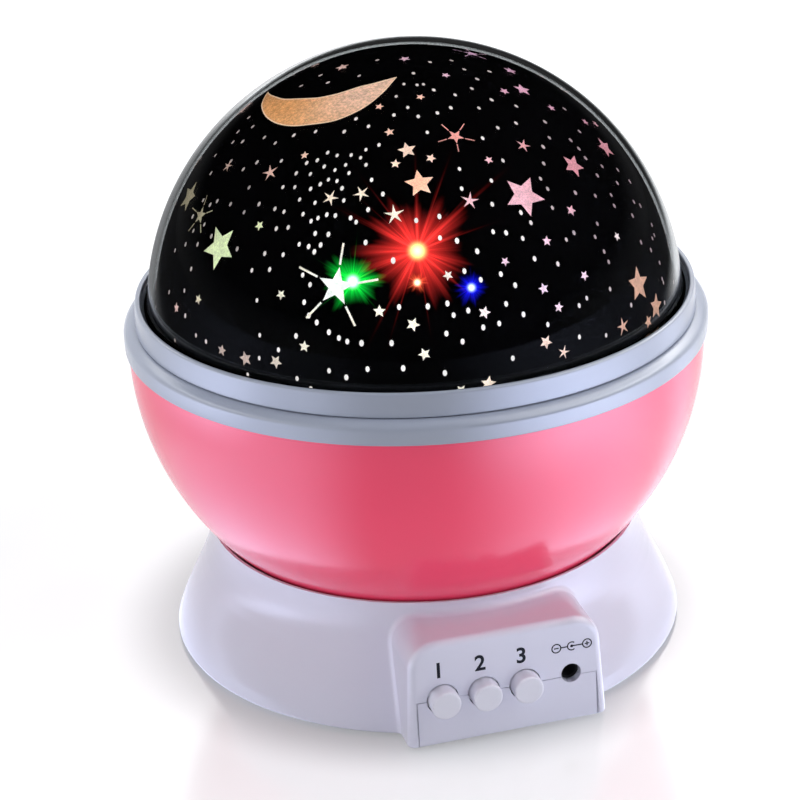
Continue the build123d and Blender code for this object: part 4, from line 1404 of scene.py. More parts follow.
@dataclass
class ControlPanel:
    """Front panel: three push caps, their numbers, and the power inlet with its sign."""

    foot_y: float = 58.097
    foot_z: float = 0.6
    lean: float = 3.0
    cap_xs: tuple[float, ...] = (-13.7, -4.95, 3.8)
    cap_z: float = 10.8
    cap_r: float = 3.1
    cap_front: float = 60.56
    cap_back: float = 54.66
    flange_r: float = 4.0
    flange_t: float = 1.0
    edge: float = 0.8
    number_h: float = 3.45
    number_z: float = 17.2
    number_shift: float = -0.6
    sign_x: float = 14.0
    sign_z: float = 17.4
    sign_line: float = 0.26
    sign_pitch: float = 3.3
    sign_mark_r: float = 0.95
    sign_bar: float = 0.5
    sign_cup_r: float = 0.9
    sign_reach: float = 2.35
    ink_t: float = 0.03

    def on_face(self, x: float, z: float) -> Matrix:
        """Place on the leaning face, with Y up the face and Z out of it.

        Args:
            x: Across.
            z: Height.

        Returns:
            The placing, in millimetres.
        """
        lean = math.radians(self.lean)
        y = -(self.foot_y - (z - self.foot_z) * math.tan(lean))
        return Matrix.Translation((x, y, z)) @ Matrix.Rotation(math.pi / 2 - lean, 4, "X")

    def caps(self, paint: bpy.types.Material) -> None:
        """Builds the push caps.

        Args:
            paint: Their material.
        """
        front, back = self.cap_front, self.cap_back
        outline = rounded(
            [
                (0, back - self.flange_t),
                (self.flange_r, back - self.flange_t, 0.15),
                (self.flange_r, back, 0.15),
                (self.cap_r, back),
                (self.cap_r, front, self.edge),
                (self.cap_r * 0.62, front - 0.02, 0.4),
                (0, front - 0.16),
            ],
            8,
        )
        for i, x in enumerate(self.cap_xs, 1):
            place = Matrix.Translation((x, 0, self.cap_z)) @ Matrix.Rotation(math.pi / 2, 4, "X")
            cap = turned(f"push_cap_{i}", outline, 72, place)
            finish_piece(cap, Body(f"button_{i}"), paint, (f"button_{i}",))

    def numbers(self, paint: bpy.types.Material) -> None:
        """Prints a number over each cap.

        Args:
            paint: The ink.
        """
        for i, x in enumerate(self.cap_xs, 1):
            text = bpy.data.curves.new(f"number_{i}", "FONT")
            text.body, text.align_x, text.align_y = str(i), "CENTER", "CENTER"
            text.size, text.extrude, text.resolution_u = self.number_h * 1.38 * MM, self.ink_t * MM, 6
            text.offset = 0.1 * MM
            maker = placed(f"number_{i}", text)
            bpy.context.view_layer.update()
            mesh = bpy.data.meshes.new_from_object(maker.evaluated_get(bpy.context.evaluated_depsgraph_get()))
            bpy.data.objects.remove(maker)
            place = self.on_face(x + self.number_shift, self.number_z)
            place.translation *= MM
            mesh.transform(place)
            finish_piece(placed(f"number_{i}_print", mesh), Body.BASE, paint)

    def sign(self, paint: bpy.types.Material) -> None:
        """Prints the common polarity sign over the inlet: minus, centre pin, plus.

        Args:
            paint: The ink.
        """
        made = bmesh.new()

        def stroke(points: Sequence[tuple[float, float]], width: float, closed: bool = False) -> None:
            """Lays a ribbon along points.

            Args:
                points: The points.
                width: Its width.
                closed: Joins the last point to the first.
            """
            count = len(points)
            sides = []
            for i, point in enumerate(points):
                here = Vector(point)
                before = Vector(points[i - 1]) if closed or i else here
                after = Vector(points[(i + 1) % count]) if closed or i < count - 1 else here
                way = (after - before).normalized()
                off = Vector((-way.y, way.x)) * width / 2
                sides.append([made.verts.new((*(here + s * off), self.ink_t)) for s in (-1, 1)])
            for i in range(count if closed else count - 1):
                low, high = sides[i], sides[(i + 1) % count]
                made.faces.new((low[0], high[0], high[1], low[1]))

        def circle(x: float, radius: float, start: float = 0.0, sweep: float = 360.0) -> Outline:
            """Points round a centre on the sign's axis.

            Args:
                x: Where the centre lies.
                radius: Its radius.
                start: Angle of the first point, in degrees.
                sweep: How far it goes round.

            Returns:
                The points.
            """
            steps = 24
            last = steps if sweep < 360 else steps - 1
            turns = [math.radians(start + sweep * k / steps) for k in range(last + 1)]
            return [(x + radius * math.cos(a), radius * math.sin(a)) for a in turns]

        width, bar, right = self.sign_line, self.sign_bar, self.sign_pitch
        for x in (-right, right):
            stroke(circle(x, self.sign_mark_r), width, True)
            stroke([(x - bar, 0), (x + bar, 0)], width)
        stroke([(right, -bar), (right, bar)], width)
        stroke([(-self.sign_reach, 0), (-self.sign_cup_r, 0)], width)
        stroke(circle(0.0, self.sign_cup_r, 50.0, 260.0), width)
        stroke([(0, 0), (self.sign_reach, 0)], width)
        stroke(circle(0.0, 0.17), 0.3, True)
        place = self.on_face(self.sign_x, self.sign_z)
        bmesh.ops.transform(made, matrix=place, verts=made.verts)
        piece = settle_mesh("inlet_sign_print", made)
        finish_piece(piece, Body.BASE, paint)

    def build(self, paints: Paintbox) -> None:
        """Builds and dresses the panel.

        Args:
            paints: The materials.
        """
        self.caps(paints.cap)
        self.numbers(paints.ink)
        self.sign(paints.ink)
        dress(("dc_jack",), paints.dark)
        dress(("dc_pin",), paints.contact)


# ---- rotor -----------------------------------------------------------------------------------
@dataclass
class Bowl:
    """Pink turning bowl with its hub, the tray's bosses and the gear's pegs."""

    arc_x: float = 1.0545
    arc_r: float = 60.195
    mid_z: float = 66.6
    floor_z: float = 21.0
    top_z: float = 68.65
    wall: float = 1.8
    hub_r: float = 11.5
    bore_r: float = 9.6
    hub_top: float = 26.85
    boss_at: float = 52.5
    boss_r: float = 3.0
    boss_top: float = 66.8
    boss_len: float = 14.0
    boss_count: int = 3
    boss_start: float = 90.0
    hole_r: float = 1.2
    hole_depth: float = 8.0
    web_half: float = 1.0
    peg_count: int = 6
    peg_start: float = 30.0
    peg_at: float = 36.65
    peg_r: float = 0.9
    peg_foot: float = 18.6

    def shell(self) -> bpy.types.Object:
        """The bowl's wall, floor and hub.

        Returns:
            The shell.
        """
        outer = arc(self.arc_x, self.mid_z, self.arc_r, self.floor_z + 0.5, self.top_z, 72)
        inner = arc(self.arc_x, self.mid_z, self.arc_r - self.wall, self.floor_z + self.wall, self.top_z, 60)
        foot_r = self.arc_x + math.sqrt(self.arc_r**2 - (self.floor_z - self.mid_z) ** 2)
        outline = rounded(
            [(foot_r - 0.15, self.floor_z, 0.5)]
            + [(r, z) for r, z in outer]
            + [(r, z) for r, z in reversed(inner)]
            + [
                (self.hub_r, self.floor_z + self.wall, 0.4),
                (self.hub_r, self.hub_top, 0.3),
                (self.bore_r, self.hub_top, 0.3),
                (self.bore_r, self.floor_z, 0.3),
            ]
        )
        return turned("turning_bowl", outline, LARGE_FACETS)

    def boss(self) -> bpy.types.Object:
        """One screw boss with its web, on the +X axis.

        Returns:
            The boss.
        """
        low, high = self.boss_top - self.boss_len, self.boss_top
        outline = rounded([(0, low), (self.boss_r, low, 0.3), (self.boss_r, high, 0.2), (0, high)])
        place = Matrix.Translation((self.boss_at, 0, 0))
        boss = turned("tray_boss_row", outline, 48, place)
        made = bmesh.new()
        inner = arc(self.arc_x, self.mid_z, self.arc_r - self.wall * 0.75, low, high, 8)
        section = [(self.boss_at, low)] + inner + [(self.boss_at, high)]
        rows = [[made.verts.new((x, y, z)) for x, z in section] for y in (-self.web_half, self.web_half)]
        for row in rows:
            made.faces.new(row)
        for k in range(len(section)):
            made.faces.new((rows[0][k - 1], rows[0][k], rows[1][k], rows[1][k - 1]))
        web = settle_mesh("web", made)
        foot, over = high - self.hole_depth, high + 1
        bore = [(0, foot), (self.hole_r, foot), (self.hole_r, over), (0, over)]
        return carve(carve(boss, [web], "UNION"), [turned("hole", bore, 32, place)])

    def peg(self) -> bpy.types.Object:
        """One staked peg, on the +X axis.

        Returns:
            The peg.
        """
        outline = rounded(
            [
                (0, self.peg_foot),
                (self.peg_r, self.peg_foot, 0.3),
                (self.peg_r, self.floor_z + 0.9),
                (0, self.floor_z + 0.9),
            ]
        )
        return turned("gear_peg_row", outline, 28, Matrix.Translation((self.peg_at, 0, 0)))

    def build(self, paints: Paintbox, copies: Pattern) -> None:
        """Builds and dresses the bowl.

        Args:
            paints: The materials.
            copies: The pattern round the axis.
        """
        finish_piece(self.shell(), Body.ROTOR, paints.pink, ("bowl",))
        for form, count, start in (
            (self.boss(), self.boss_count, self.boss_start),
            (self.peg(), self.peg_count, self.peg_start),
        ):
            row = copies.grow(form, Count=count, Start=math.radians(start), Material=paints.pink)
            finish_piece(row, Body.ROTOR, paints.pink)


@dataclass
class BandTray:
    """White tray whose rim is the lower band, with the screws that hold it."""

    band_r: float = 62.0
    band_z: float = 68.65
    top_z: float = 73.25
    turn: float = 1.8
    ledge_r: float = 59.7
    collar_r: float = 58.25
    collar_in_r: float = 56.85
    collar_top: float = 74.85
    dish_z: float = 71.65
    low_z: float = 67.65
    hole_r: float = 18.0
    lip: float = 3.0
    thick: float = 1.6
    skirt_r: float = 59.26
    skirt_in_r: float = 58.06
    foot_z: float = 66.85
    pad_r: float = 4.0
    screw_at: float = 52.5
    screw_count: int = 3
    screw_start: float = 90.0
    hole_in_pad_r: float = 1.3
    seat_r: float = 2.45
    seat_z: float = 68.45
    tool_facets: int = 46

    def outline(self) -> Outline:
        """Section of the tray.

        Returns:
            The section.
        """
        start, end = Vector((self.band_r, self.top_z - self.turn)), Vector((self.ledge_r, self.top_z))
        pull = Vector((self.band_r, self.top_z - self.turn / 4))
        steps = [k / 12 for k in range(13)]
        curve = [start * (1 - t) ** 2 + pull * 2 * t * (1 - t) + end * t**2 for t in steps]
        return rounded(
            [
                (self.skirt_r, self.foot_z, 0.3),
                (self.skirt_r, self.band_z),
                (self.band_r, self.band_z, 0.35),
                *[tuple(point) for point in curve],
                (self.collar_r, self.top_z, 0.2),
                (self.collar_r, self.collar_top, 0.3),
                (self.collar_in_r, self.collar_top, 0.3),
                (self.collar_in_r, self.dish_z, 0.5),
                (self.hole_r + self.lip, self.low_z, 2.0),
                (self.hole_r, self.low_z, 0.4),
                (self.hole_r, self.low_z - self.thick, 0.3),
                (self.hole_r + self.lip, self.low_z - self.thick, 2.0),
                (self.skirt_in_r, self.dish_z - self.thick, 0.4),
                (self.skirt_in_r, self.foot_z, 0.3),
            ]
        )

    def build(self, paints: Paintbox, copies: Pattern) -> None:
        """Builds and dresses the tray.

        Args:
            paints: The materials.
            copies: The pattern round the axis.
        """
        tray = turned("lower_band_tray", self.outline(), LARGE_FACETS)
        low, high = self.foot_z - 1, self.top_z + 1
        pad = [(0, self.foot_z), (self.pad_r, self.foot_z), (self.pad_r, self.dish_z), (0, self.dish_z)]
        seat = [(0, low), (self.hole_in_pad_r, low), (self.hole_in_pad_r, self.seat_z)]
        seat += [(self.seat_r, self.seat_z), (self.seat_r, high), (0, high)]
        pads, seats = [], []
        for k in range(self.screw_count):
            turn = math.radians(self.screw_start + 360 * k / self.screw_count)
            at = Matrix.Translation((self.screw_at * math.cos(turn), self.screw_at * math.sin(turn), 0))
            pads.append(turned("tool", pad, self.tool_facets, at))
            seats.append(turned("tool", seat, self.tool_facets, at))
        carve(carve(tray, pads, "UNION"), seats)
        finish_piece(tray, Body.ROTOR, paints.rim, ("reflector_tray",))
        row = Screws(
            name="tray_screw_row",
            slot="screw_steel",
            body=Body.ROTOR,
            count=self.screw_count,
            start=self.screw_start,
            at_r=self.screw_at,
            head_z=self.seat_z,
            length=8.0,
            up=False,
            stands_for="tray_screws",
        )
        row.build(paints.screw, copies)


# ---- dome cover ------------------------------------------------------------------------------
@dataclass
class DomeRing:
    """Upper white ring that holds both domes."""

    low_z: float = 73.4
    top_z: float = 78.3
    foot_r: float = 59.5
    top_r: float = 59.1
    in_r: float = 58.0
    foot_in_r: float = 58.4
    shelf_z: float = 75.0
    shelf_t: float = 1.0
    shelf_in_r: float = 54.95
    edge: float = 0.55

    def build(self, paints: Paintbox) -> None:
        """Builds and dresses the ring.

        Args:
            paints: The materials.
        """
        outline = rounded(
            [
                (self.foot_in_r, self.low_z, 0.15),
                (self.foot_r, self.low_z, 0.3),
                (self.top_r, self.top_z, self.edge),
                (self.in_r, self.top_z, 0.4),
                (self.in_r, self.shelf_z + self.shelf_t),
                (self.shelf_in_r, self.shelf_z + self.shelf_t, 0.2),
                (self.shelf_in_r, self.shelf_z, 0.2),
                (self.foot_in_r, self.shelf_z),
            ],
            8,
        )
        ring = turned("upper_ring", outline, LARGE_FACETS)
        finish_piece(ring, Body.DOME, paints.rim, ("dome_ring",))


@dataclass
class StarDome:
    """Clear cover over the black film, with its moon, star and dot windows."""

    clear_r: float = 56.8
    clear_wall: float = 1.2
    clear_flange_r: float = 57.95
    clear_flange_z: float = 76.5
    clear_flange_t: float = 1.0
    film_t: float = 0.5
    film_flange_r: float = 57.15
    film_flange_z: float = 76.0
    tab_bearing: float = 20.0
    tab_half: float = 2.85
    tab_r: float = 57.88
    notch_r: float = 60.0
    notch_half: float = 3.0
    facets: int = 256
    lift: float = 0.05
    seed: int = 11
    swell: float = 1.2
    dot_pitch: float = 4.9
    dot_size: tuple[float, float] = (0.84, 1.2)
    moon_bearing: float = -74.8
    moon_elevation: float = 67.8
    moon_outer: tuple[tuple[float, float], ...] = (
        (9.9, 13.3), (12.4, 8.7), (13.6, 4.3), (13.5, 0.6), (12.0, -3.4), (9.1, -6.4),
        (4.8, -9.3), (0.1, -10.5), (-5.2, -10.1), (-10.5, -8.2), (-13.4, -6.2), (-16.5, -3.5),
    )
    moon_inner: tuple[tuple[float, float], ...] = (
        (9.9, 13.3), (9.1, 10.3), (8.4, 8.2), (7.4, 6.2), (6.3, 3.5), (4.9, 1.1),
        (2.2, -1.5), (-2.4, -3.7), (-5.9, -4.8), (-9.5, -4.8), (-12.7, -4.5), (-16.5, -3.5),
    )
    broad: tuple[tuple[float, ...], ...] = (
        (-66.7, 28.5, 7.7, -29), (16, 40.9, 7.3, 30), (-12.8, 46.9, 4.9, 6), (37.5, 43.3, 4.4, 20),
        (58, 42, 4.2, -14), (40.6, 15.2, 6.0, -12.6), (46.1, 8.4, 4.45, -17.7), (-16.1, 54.8, 3.1, 12),
        (-90.8, 33.4, 5.6, 4.9), (-15.6, 85.2, 2.03), (-88.5, 76.2, 2.44), (-119.6, 70, 2.07),
        (51.6, 63, 3.22), (67.9, 67.4, 2.45), (-56.4, 35.2, 1.76), (-52, 51.9, 1.56), (-20, 51.6, 1.74),
        (-8.4, 52.5, 1.74), (-22.9, 59.5, 1.75), (-29.7, 66.6, 1.57), (-7.5, 69.3, 1.58),
        (19.2, 75.3, 1.6), (40.8, 65, 1.8), (52.6, 55.9, 1.61), (61.6, 48.5, 1.63), (67.2, 46.1, 1.64),
        (27.8, 35.1, 1.95), (10.2, 50.2, 1.55), (17.4, 30.8, 1.74), (5.6, 28.7, 1.53),
        (13.3, 21.8, 1.93), (16, 17.4, 1.74), (24.5, 21.9, 1.75), (38.7, 26.3, 1.59), (-1, 19.4, 2.1),
        (-8, 27.5, 1.71), (-23.2, 21, 2.1), (-16.2, 18.3, 2.29), (-14.1, 12.3, 2.1), (-39.2, 13, 1.93),
        (-45.6, 9, 2.33), (-53.2, 8.2, 2.54), (-59.9, 8.4, 1.97), (-45.8, 22.6, 1.74),
        (-77.6, 12.4, 1.82), (-69.3, 16.7, 1.79), (11.7, 11.2, 2.32), (41.8, 6.6, 2.41),
        (-1.5, 5, 2.69), (-7.1, 4.3, 1.92),
    )
    slim: tuple[tuple[float, ...], ...] = (
        (-61.1, 46.4, 3.14), (-80.3, 43.9, 2.41), (-38.1, 43.4, 2.89), (-29.4, 44.8, 2.88),
        (-20, 40.4, 3.44), (0.4, 42.1, 3.07), (24.8, 51.4, 2.74), (32.5, 8.8, 3.17), (15.6, 8.2, 2.33),
    )
    rayed: tuple[tuple[float, ...], ...] = (
        (-32.9, 25.5, 6.3, -4.6), (2.2, 57.1, 2.85, 28), (84.2, 75.6, 2.88), (-79.3, 32.3, 3.21, 14),
    )
    rear: int = 34
    front_dots: tuple[tuple[float, float], ...] = (
        (-70.3, 83), (-7.5, 78.1), (23.3, 81.7), (48.7, 79.2), (-58.5, 75.9), (-17, 74.1), (-7.5, 73.5),
        (-2.8, 73.5), (40.2, 75.1), (-90.8, 71.4), (-89.8, 66.8), (-74.9, 71), (-21.6, 69.9),
        (-15.1, 66.3), (2.1, 71.1), (12.5, 68.4), (25.3, 69), (36.4, 71), (53.6, 71), (-38.8, 62.7),
        (-32, 60.9), (-21.7, 64.2), (-10.6, 63.5), (-1.5, 64), (5.9, 64.9), (18.9, 63.2), (28.7, 64.3),
        (36.9, 60.5), (-61.6, 55.8), (-53.4, 57.9), (-41.3, 59), (-30.6, 54.9), (-26.2, 56.2), (-8, 59),
        (11.9, 55.5), (20.2, 57.1), (29, 56.8), (41.7, 54.3), (-94.6, 54), (-91.3, 50.5), (-88.2, 48.3),
        (-85.6, 53.5), (-83.1, 49.8), (-74.1, 53), (-67, 52.8), (-59.5, 49.5), (-49.8, 50.3),
        (-46.8, 48), (-46.5, 51.3), (-44, 53.4), (-43.2, 50.1), (-40.2, 53), (-39.2, 49.6), (-36.2, 51),
        (-35.3, 53.4), (-34.4, 49.2), (-31.8, 52.9), (-29.5, 51.3), (-27, 47.9), (-0.1, 49.3),
        (14.7, 49.4), (31.7, 49.6), (37, 50.8), (44.8, 48.1), (52.8, 48.3), (59, 53.7), (-92, 43.6),
        (-80.7, 45.1), (-72.4, 45), (-68.7, 47.5), (-65.7, 42), (-54, 44.1), (-51.7, 47.6),
        (-50.1, 44.6), (-47.1, 42.2), (-44.9, 44.8), (-42.4, 46.1), (-42.2, 42), (-40.3, 47.3),
        (-37.5, 47.2), (-35.4, 45.7), (-34.1, 43.1), (-23.3, 44.8), (-1, 44.9), (8.3, 45.6),
        (23.5, 43.4), (27.6, 46.2), (44.5, 43.3), (45, 45.7), (-86.5, 40.5), (-75.2, 36.7),
        (-69.3, 37.4), (-63.1, 36.9), (-59.3, 39.4), (-53.6, 39.3), (-50.5, 39.1), (-47.8, 36.1),
        (-44.7, 39.3), (-41.9, 38.1), (-40.2, 38.9), (-38, 39.8), (-35.6, 39.8), (-31.4, 39.5),
        (-29.8, 38.7), (-27, 41.4), (-14.4, 39), (-8.4, 39.5), (6.2, 40.6), (13.2, 37.7), (22.6, 36.9),
        (24, 40.9), (32.1, 38.1), (44, 39), (48.8, 39.9), (55, 37), (-82.8, 31.1), (-81.7, 35.2),
        (-77.4, 35.3), (-75.8, 31.2), (-51.1, 35.4), (-47.2, 30.5), (-43.6, 33.1), (-41, 32.9),
        (-40, 35.7), (-39.3, 32), (-38, 33.5), (-36.5, 35.8), (-26.9, 34.6), (-20.2, 31), (-8.9, 35.1),
        (-4.9, 34.2), (-0.5, 31.6), (4.4, 35), (7.6, 34.3), (11.4, 32.5), (14.9, 35.2), (25.7, 30.7),
        (34, 30.5), (38.3, 35.7), (43.2, 31.9), (44.4, 34.1), (50.3, 35.2), (57.2, 33.3), (-80.6, 25.4),
        (-79.4, 28.8), (-75.3, 26.9), (-71.1, 29.8), (-60.8, 29.4), (-54.7, 26.1), (-52.3, 30),
        (-49.9, 27.1), (-41.2, 27.1), (-39.1, 25.4), (-4.2, 28), (-0.8, 25.9), (4, 26.4), (12.9, 28),
        (18.4, 25.8), (22.8, 29.9), (31.5, 28.3), (32.5, 24.8), (48.6, 27.9), (52.7, 29.8), (55, 28.1),
        (-85, 22.7), (-74.7, 21.7), (-51.7, 20.5), (-40, 21.8), (-38.6, 19.3), (-36.7, 18.1),
        (-19, 21.8), (-12.9, 21.7), (-8.7, 22), (-7.6, 19.6), (-4.4, 20.2), (4, 20.4), (6.8, 23.7),
        (32.8, 22.5), (47.1, 22.3), (50.4, 19.4), (53.4, 21), (55.2, 21.1), (56.3, 23.1), (-82.6, 14.2),
        (-75.4, 16.8), (-49.9, 13.7), (-41.2, 14.9), (-33.9, 16.4), (-31.7, 15.4), (-29.9, 14.8),
        (-26.9, 14.6), (-20.7, 14.7), (-14.1, 12.3), (-9.4, 16.1), (-6.2, 14.2), (-1.6, 16.5),
        (1.9, 16.8), (7.5, 17.7), (12.7, 14.6), (21.2, 16.5), (23.6, 17.4), (30.8, 17.3), (52.9, 15.6),
        (-73.4, 12), (-68.6, 9.2), (-65, 8.9), (-49.7, 9), (-45.1, 11.5), (-33.7, 8.6), (-30.1, 7.5),
        (-25.7, 9.4), (-18.5, 9.6), (-10.2, 8.2), (4, 9.4), (19.9, 10.3), (27.1, 8.6), (36.4, 12.1),
        (51, 7.4), (52, 12.3), (52.3, 11.4), (-77.3, 5.3), (-52.6, 4.9), (-40.7, 6.2), (-37.7, 4.4),
        (40.3, 3.5),
    )
    front: tuple[float, float, float] = (-15.0, 24.0, 74.0)

    def profile(
        self, outer_r: float, thick: float, flange_r: float, flange_z: float, flange_t: float
    ) -> Outline:
        """Section of a domed shell with a flange at its mouth.

        Args:
            outer_r: Outer radius of the dome.
            thick: Thickness of the shell.
            flange_r: Outer radius of the flange.
            flange_z: Underside of the flange.
            flange_t: Thickness of the flange.

        Returns:
            The closed outline.
        """
        mid = FILM.mid_z
        outer = arc(0.0, mid, outer_r, flange_z + flange_t, mid + outer_r, 72)
        inner = arc(0.0, mid, outer_r - thick, flange_z, mid + outer_r - thick, 72)
        edge = min(0.18, flange_t * 0.35)
        return rounded(
            [(flange_r, flange_z, edge), (flange_r, flange_z + flange_t, edge)]
            + [(outer[0][0], outer[0][1], 0.3)]
            + [(max(r, 0.0), z) for r, z in outer[1:]]
            + [(max(r, 0.0), z) for r, z in reversed(inner)]
        )

    def tab(
        self, name: str, inner: float, outer: float, half: float, low: float, high: float
    ) -> bpy.types.Object:
        """Block at the locating tab's bearing, given by its two sides, half its width and two heights."""
        turn = Matrix.Rotation(math.radians(self.tab_bearing - 90), 4, "Z")
        return slab(name, (inner, -half, low), (outer, half, high), turn)

    def domes(self, paints: Paintbox) -> None:
        """Builds the clear cover and the film.

        Args:
            paints: The materials.
        """
        z, t = self.clear_flange_z, self.clear_flange_t
        section = self.profile(self.clear_r, self.clear_wall, self.clear_flange_r, z, t)
        cover = turned("clear_cover", section, self.facets)
        notch = self.tab("notch", self.clear_r + 0.15, self.notch_r, self.notch_half, z - 1, z + t + 1)
        carve(cover, [notch])
        finish_piece(cover, Body.DOME, paints.clear, ("clear_dome",))
        low = self.film_flange_z
        section = self.profile(FILM.radius, self.film_t, self.film_flange_r, low, self.film_t)
        film = turned("black_film", section, self.facets)
        foot = self.tab("foot", self.film_flange_r - 1, self.tab_r, self.tab_half, low, low + self.film_t)
        key = self.tab("key", self.clear_r + 0.3, self.tab_r, self.tab_half, low, low + self.film_t + 0.5)
        carve(film, [foot, key], "UNION")
        finish_piece(film, Body.DOME, paints.film, ("star_film",))

    def marks(self, rows: Sequence[Sequence[float]]) -> list[Mark]:
        """Marks of stars.

        Args:
            rows: Bearing, elevation, diameter and, where it matters, spin of each star.

        Returns:
            The marks.
        """
        made = []
        for i, row in enumerate(rows):
            spin = row[3] if len(row) > 3 else (i * 47) % 72 - 36
            size = row[2] * self.swell
            made.append(Mark(row[0], row[1], size, size, spin))
        return made

    def rear_stars(self) -> list[Mark]:
        """Marks of stars on the side away from the panel, by a seeded rule.

        Returns:
            The marks.
        """
        chance = random.Random(self.seed)
        made: list[Mark] = []
        while len(made) < self.rear:
            bearing, elevation = chance.uniform(84, 250), math.degrees(math.asin(chance.uniform(0.08, 0.93)))
            size = chance.choice((1.7, 1.9, 2.3, 3.0, 4.2, 5.6))
            here = FILM.at(bearing, elevation)
            if all((here - mark.point(0)).length > (size + mark.width) / 2 + 3.4 for mark in made):
                made.append(Mark(bearing, elevation, size, size, chance.uniform(-36, 36)))
        return made

    def in_moon(self, point: Vector, margin: float = 0.9) -> bool:
        """Tells whether a point lies in the moon or close to it.

        Args:
            point: Point on the film.
            margin: How close counts.

        Returns:
            True if it does.
        """
        east, north, out = FILM.axes(self.moon_bearing, self.moon_elevation)
        way = (point - Vector((0, 0, FILM.mid_z))).normalized()
        angle = way.angle(out)
        flat = Vector((way.dot(east), way.dot(north)))
        flat = flat.normalized() * angle * FILM.radius if flat.length > 1e-9 else flat
        ring = list(self.moon_outer) + list(reversed(self.moon_inner[1:-1]))
        inside = False
        for (x0, y0), (x1, y1) in zip(ring, ring[1:] + ring[:1]):
            if (y0 > flat.y) != (y1 > flat.y) and flat.x < (x1 - x0) * (flat.y - y0) / (y1 - y0) + x0:
                inside = not inside
            edge, off = Vector((x1 - x0, y1 - y0)), flat - Vector((x0, y0))
            along = min(max(off.dot(edge) / edge.length_squared, 0), 1)
            if (off - edge * along).length < margin:
                return True
        return inside

    def dots(self, taken: Sequence[Mark]) -> list[Mark]:
        """Marks of the small dots: laid out in front, in seeded uneven rows round the back.

        Args:
            taken: Marks of the stars, which the rows leave free.

        Returns:
            The marks.
        """
        chance = random.Random(self.seed)
        stars = [(mark.point(0), mark.width / 2 + 1.0) for mark in taken]
        per_mm = 180 / (math.pi * FILM.radius)
        ahead = FILM.axes(*self.front[:2])[2]
        made = list(self.front_dots)
        for row in range(int(88 / (self.dot_pitch * per_mm))):
            middle = 3.4 + row * self.dot_pitch * per_mm
            count = max(3, int(2 * math.pi * FILM.radius * math.cos(math.radians(middle)) / self.dot_pitch))
            for k in range(count):
                elevation = middle + chance.uniform(-0.3, 0.3) * self.dot_pitch * per_mm
                bearing = 360 * (k + 0.5 * (row % 2) + chance.uniform(-0.3, 0.3)) / count
                here = FILM.at(bearing, elevation)
                clear = all((here - star).length > room for star, room in stars) and not self.in_moon(here)
                if clear and ahead.angle(FILM.axes(bearing, elevation)[2]) > math.radians(self.front[2]):
                    made.append((bearing, elevation))
        marks = []
        for bearing, elevation in made:
            away = math.degrees(ahead.angle(FILM.axes(bearing, elevation + 6)[2]))
            size = chance.uniform(0.92, 1.08) * (1.0 - 0.2 * min(max((away - 14) / 20, 0.0), 1.0))
            marks.append(Mark(bearing, elevation, self.dot_size[0] * size, self.dot_size[1] * size))
        return marks

    def moon(self, paint: bpy.types.Material) -> None:
        """Builds the moon's window.

        Args:
            paint: Its material.
        """
        def smooth(points: Sequence[tuple[float, float]], t: float) -> Vector:
            """Point on a smooth line through points.

            Args:
                points: The points.
                t: How far along, from 0 to 1.

            Returns:
                The point.
            """
            spot = min(t * (len(points) - 1), len(points) - 1.0001)
            i, u = int(spot), spot - int(spot)
            p = [Vector(points[min(max(k, 0), len(points) - 1)]) for k in (i - 1, i, i + 1, i + 2)]
            pull = (p[2] - p[0]) * u + (2 * p[0] - 5 * p[1] + 4 * p[2] - p[3]) * u**2
            return p[1] + 0.5 * (pull + (3 * (p[1] - p[2]) + p[3] - p[0]) * u**3)

        long, across = 72, 8
        made = bmesh.new()
        inset = made.verts.layers.float.new("inset")
        rows = []
        for k in range(long + 1):
            outer, inner = smooth(self.moon_outer, k / long), smooth(self.moon_inner, k / long)
            row = []
            for j in range(across + 1):
                flat = outer.lerp(inner, j / across)
                vertex = made.verts.new(
                    FILM.near(self.moon_bearing, self.moon_elevation, flat.x, flat.y, self.lift)
                )
                vertex[inset] = min(j, across - j) / across * (outer - inner).length
                row.append(vertex)
            rows.append(row)
        for low, high in zip(rows, rows[1:]):
            for j in range(across):
                made.faces.new((low[j], high[j], high[j + 1], low[j + 1]))
        piece = settle_mesh("moon_window", made, 180.0)
        finish_piece(self.outwards(piece), Body.DOME, paint)

    def outwards(self, piece: bpy.types.Object) -> bpy.types.Object:
        """Turns a thin piece's faces away from the dome's middle.

        Args:
            piece: The piece.

        Returns:
            The piece.
        """
        made = bmesh.new()
        made.from_mesh(piece.data)
        middle = Vector((0, 0, FILM.mid_z * MM))
        made.normal_update()
        wrong = [face for face in made.faces if face.normal.dot(face.calc_center_median() - middle) < 0]
        bmesh.ops.reverse_faces(made, faces=wrong)
        made.to_mesh(piece.data)
        made.free()
        return piece

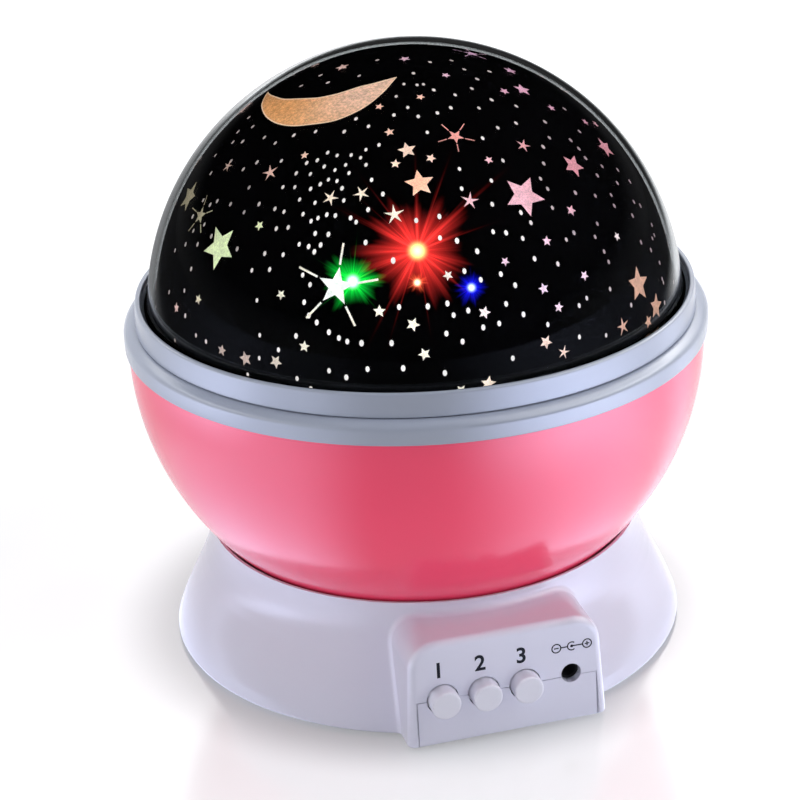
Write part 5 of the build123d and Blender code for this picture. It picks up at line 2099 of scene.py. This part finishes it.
    def windows(self, paints: Paintbox) -> None:
        """Builds every window of the film.

        Args:
            paints: The materials.
        """
        self.moon(paints.moon)
        rear = self.rear_stars()
        groups = (
            ("broad_star_windows", self.marks(self.broad) + rear[::2], star_pattern(False), 0.47),
            ("slim_star_windows", self.marks(self.slim) + rear[1::4], star_pattern(False), 0.28),
            ("rayed_star_windows", self.marks(self.rayed) + rear[3::4], star_pattern(True), 0.42),
        )
        for name, marks, pattern, waist in groups:
            points = marked(name, marks, self.lift + 0.02)
            piece = pattern.grow(
                points, Waist=waist, Ray_Length=1.1, Ray_Width=0.11, Material=paints.stars
            )
            finish_piece(self.outwards(piece), Body.DOME, paints.stars)
        taken = [mark for group in groups for mark in group[1]]
        for ray in groups[2][1]:
            taken.append(Mark(ray.bearing, ray.elevation, ray.width * 2.3, ray.height * 2.3))
        dots = dot_pattern().grow(
            marked("dot_windows", self.dots(taken), self.lift), Corners=10, Material=paints.dots
        )
        finish_piece(self.outwards(dots), Body.DOME, paints.dots)

    def build(self, paints: Paintbox) -> None:
        """Builds and dresses the dome cover."""
        self.domes(paints)
        self.windows(paints)


@dataclass
class Lamps:
    """The four lamps on the round board."""

    board_z: float = 74.6
    lens_r: float = 2.5
    body: float = 3.4
    collar_r: float = 2.9
    collar_t: float = 0.9
    at: dict[str, tuple[float, float, str, str]] = field(
        default_factory=lambda: {
            "led_white": (0.0, 0.0, "lamp_clear", "clear"),
            "led_green": (-12.5, 0.0, "lamp_green", "green"),
            "led_blue": (12.5, 0.0, "lamp_blue", "blue"),
            "led_red": (0.0, 12.5, "lamp_red", "red"),
        }
    )

    def build(self, paints: Paintbox) -> None:
        """Builds and dresses the lamps.

        Args:
            paints: The materials.
        """
        z = self.board_z
        dome = arc(0.0, z + self.body, self.lens_r, z + self.body, z + self.body + self.lens_r, 14)
        outline = rounded(
            [
                (0, z),
                (self.collar_r, z, 0.1),
                (self.collar_r, z + self.collar_t, 0.15),
                (self.lens_r, z + self.collar_t),
                *[(max(r, 0.0), height) for r, height in dome],
            ]
        )
        for node, (x, y, slot, paint) in self.at.items():
            lens = turned(node.replace("led", "lamp"), outline, 40, Matrix.Translation((x, y, 0)))
            finish_piece(lens, Body.BASE, paints.lamps[paint], (node,))


def main() -> None:
    """Builds the studio and every sub-assembly."""
    logging.basicConfig(level=logging.INFO, format="%(name)s: %(message)s")
    Studio().build()
    paints = Paintbox()
    copies = axis_pattern()
    BaseCasing().build(paints, copies)
    ControlPanel().build(paints)
    Bowl().build(paints, copies)
    BandTray().build(paints, copies)
    DomeRing().build(paints)
    StarDome().build(paints)
    Lamps().build(paints)


if __name__ == "__main__":
    main()
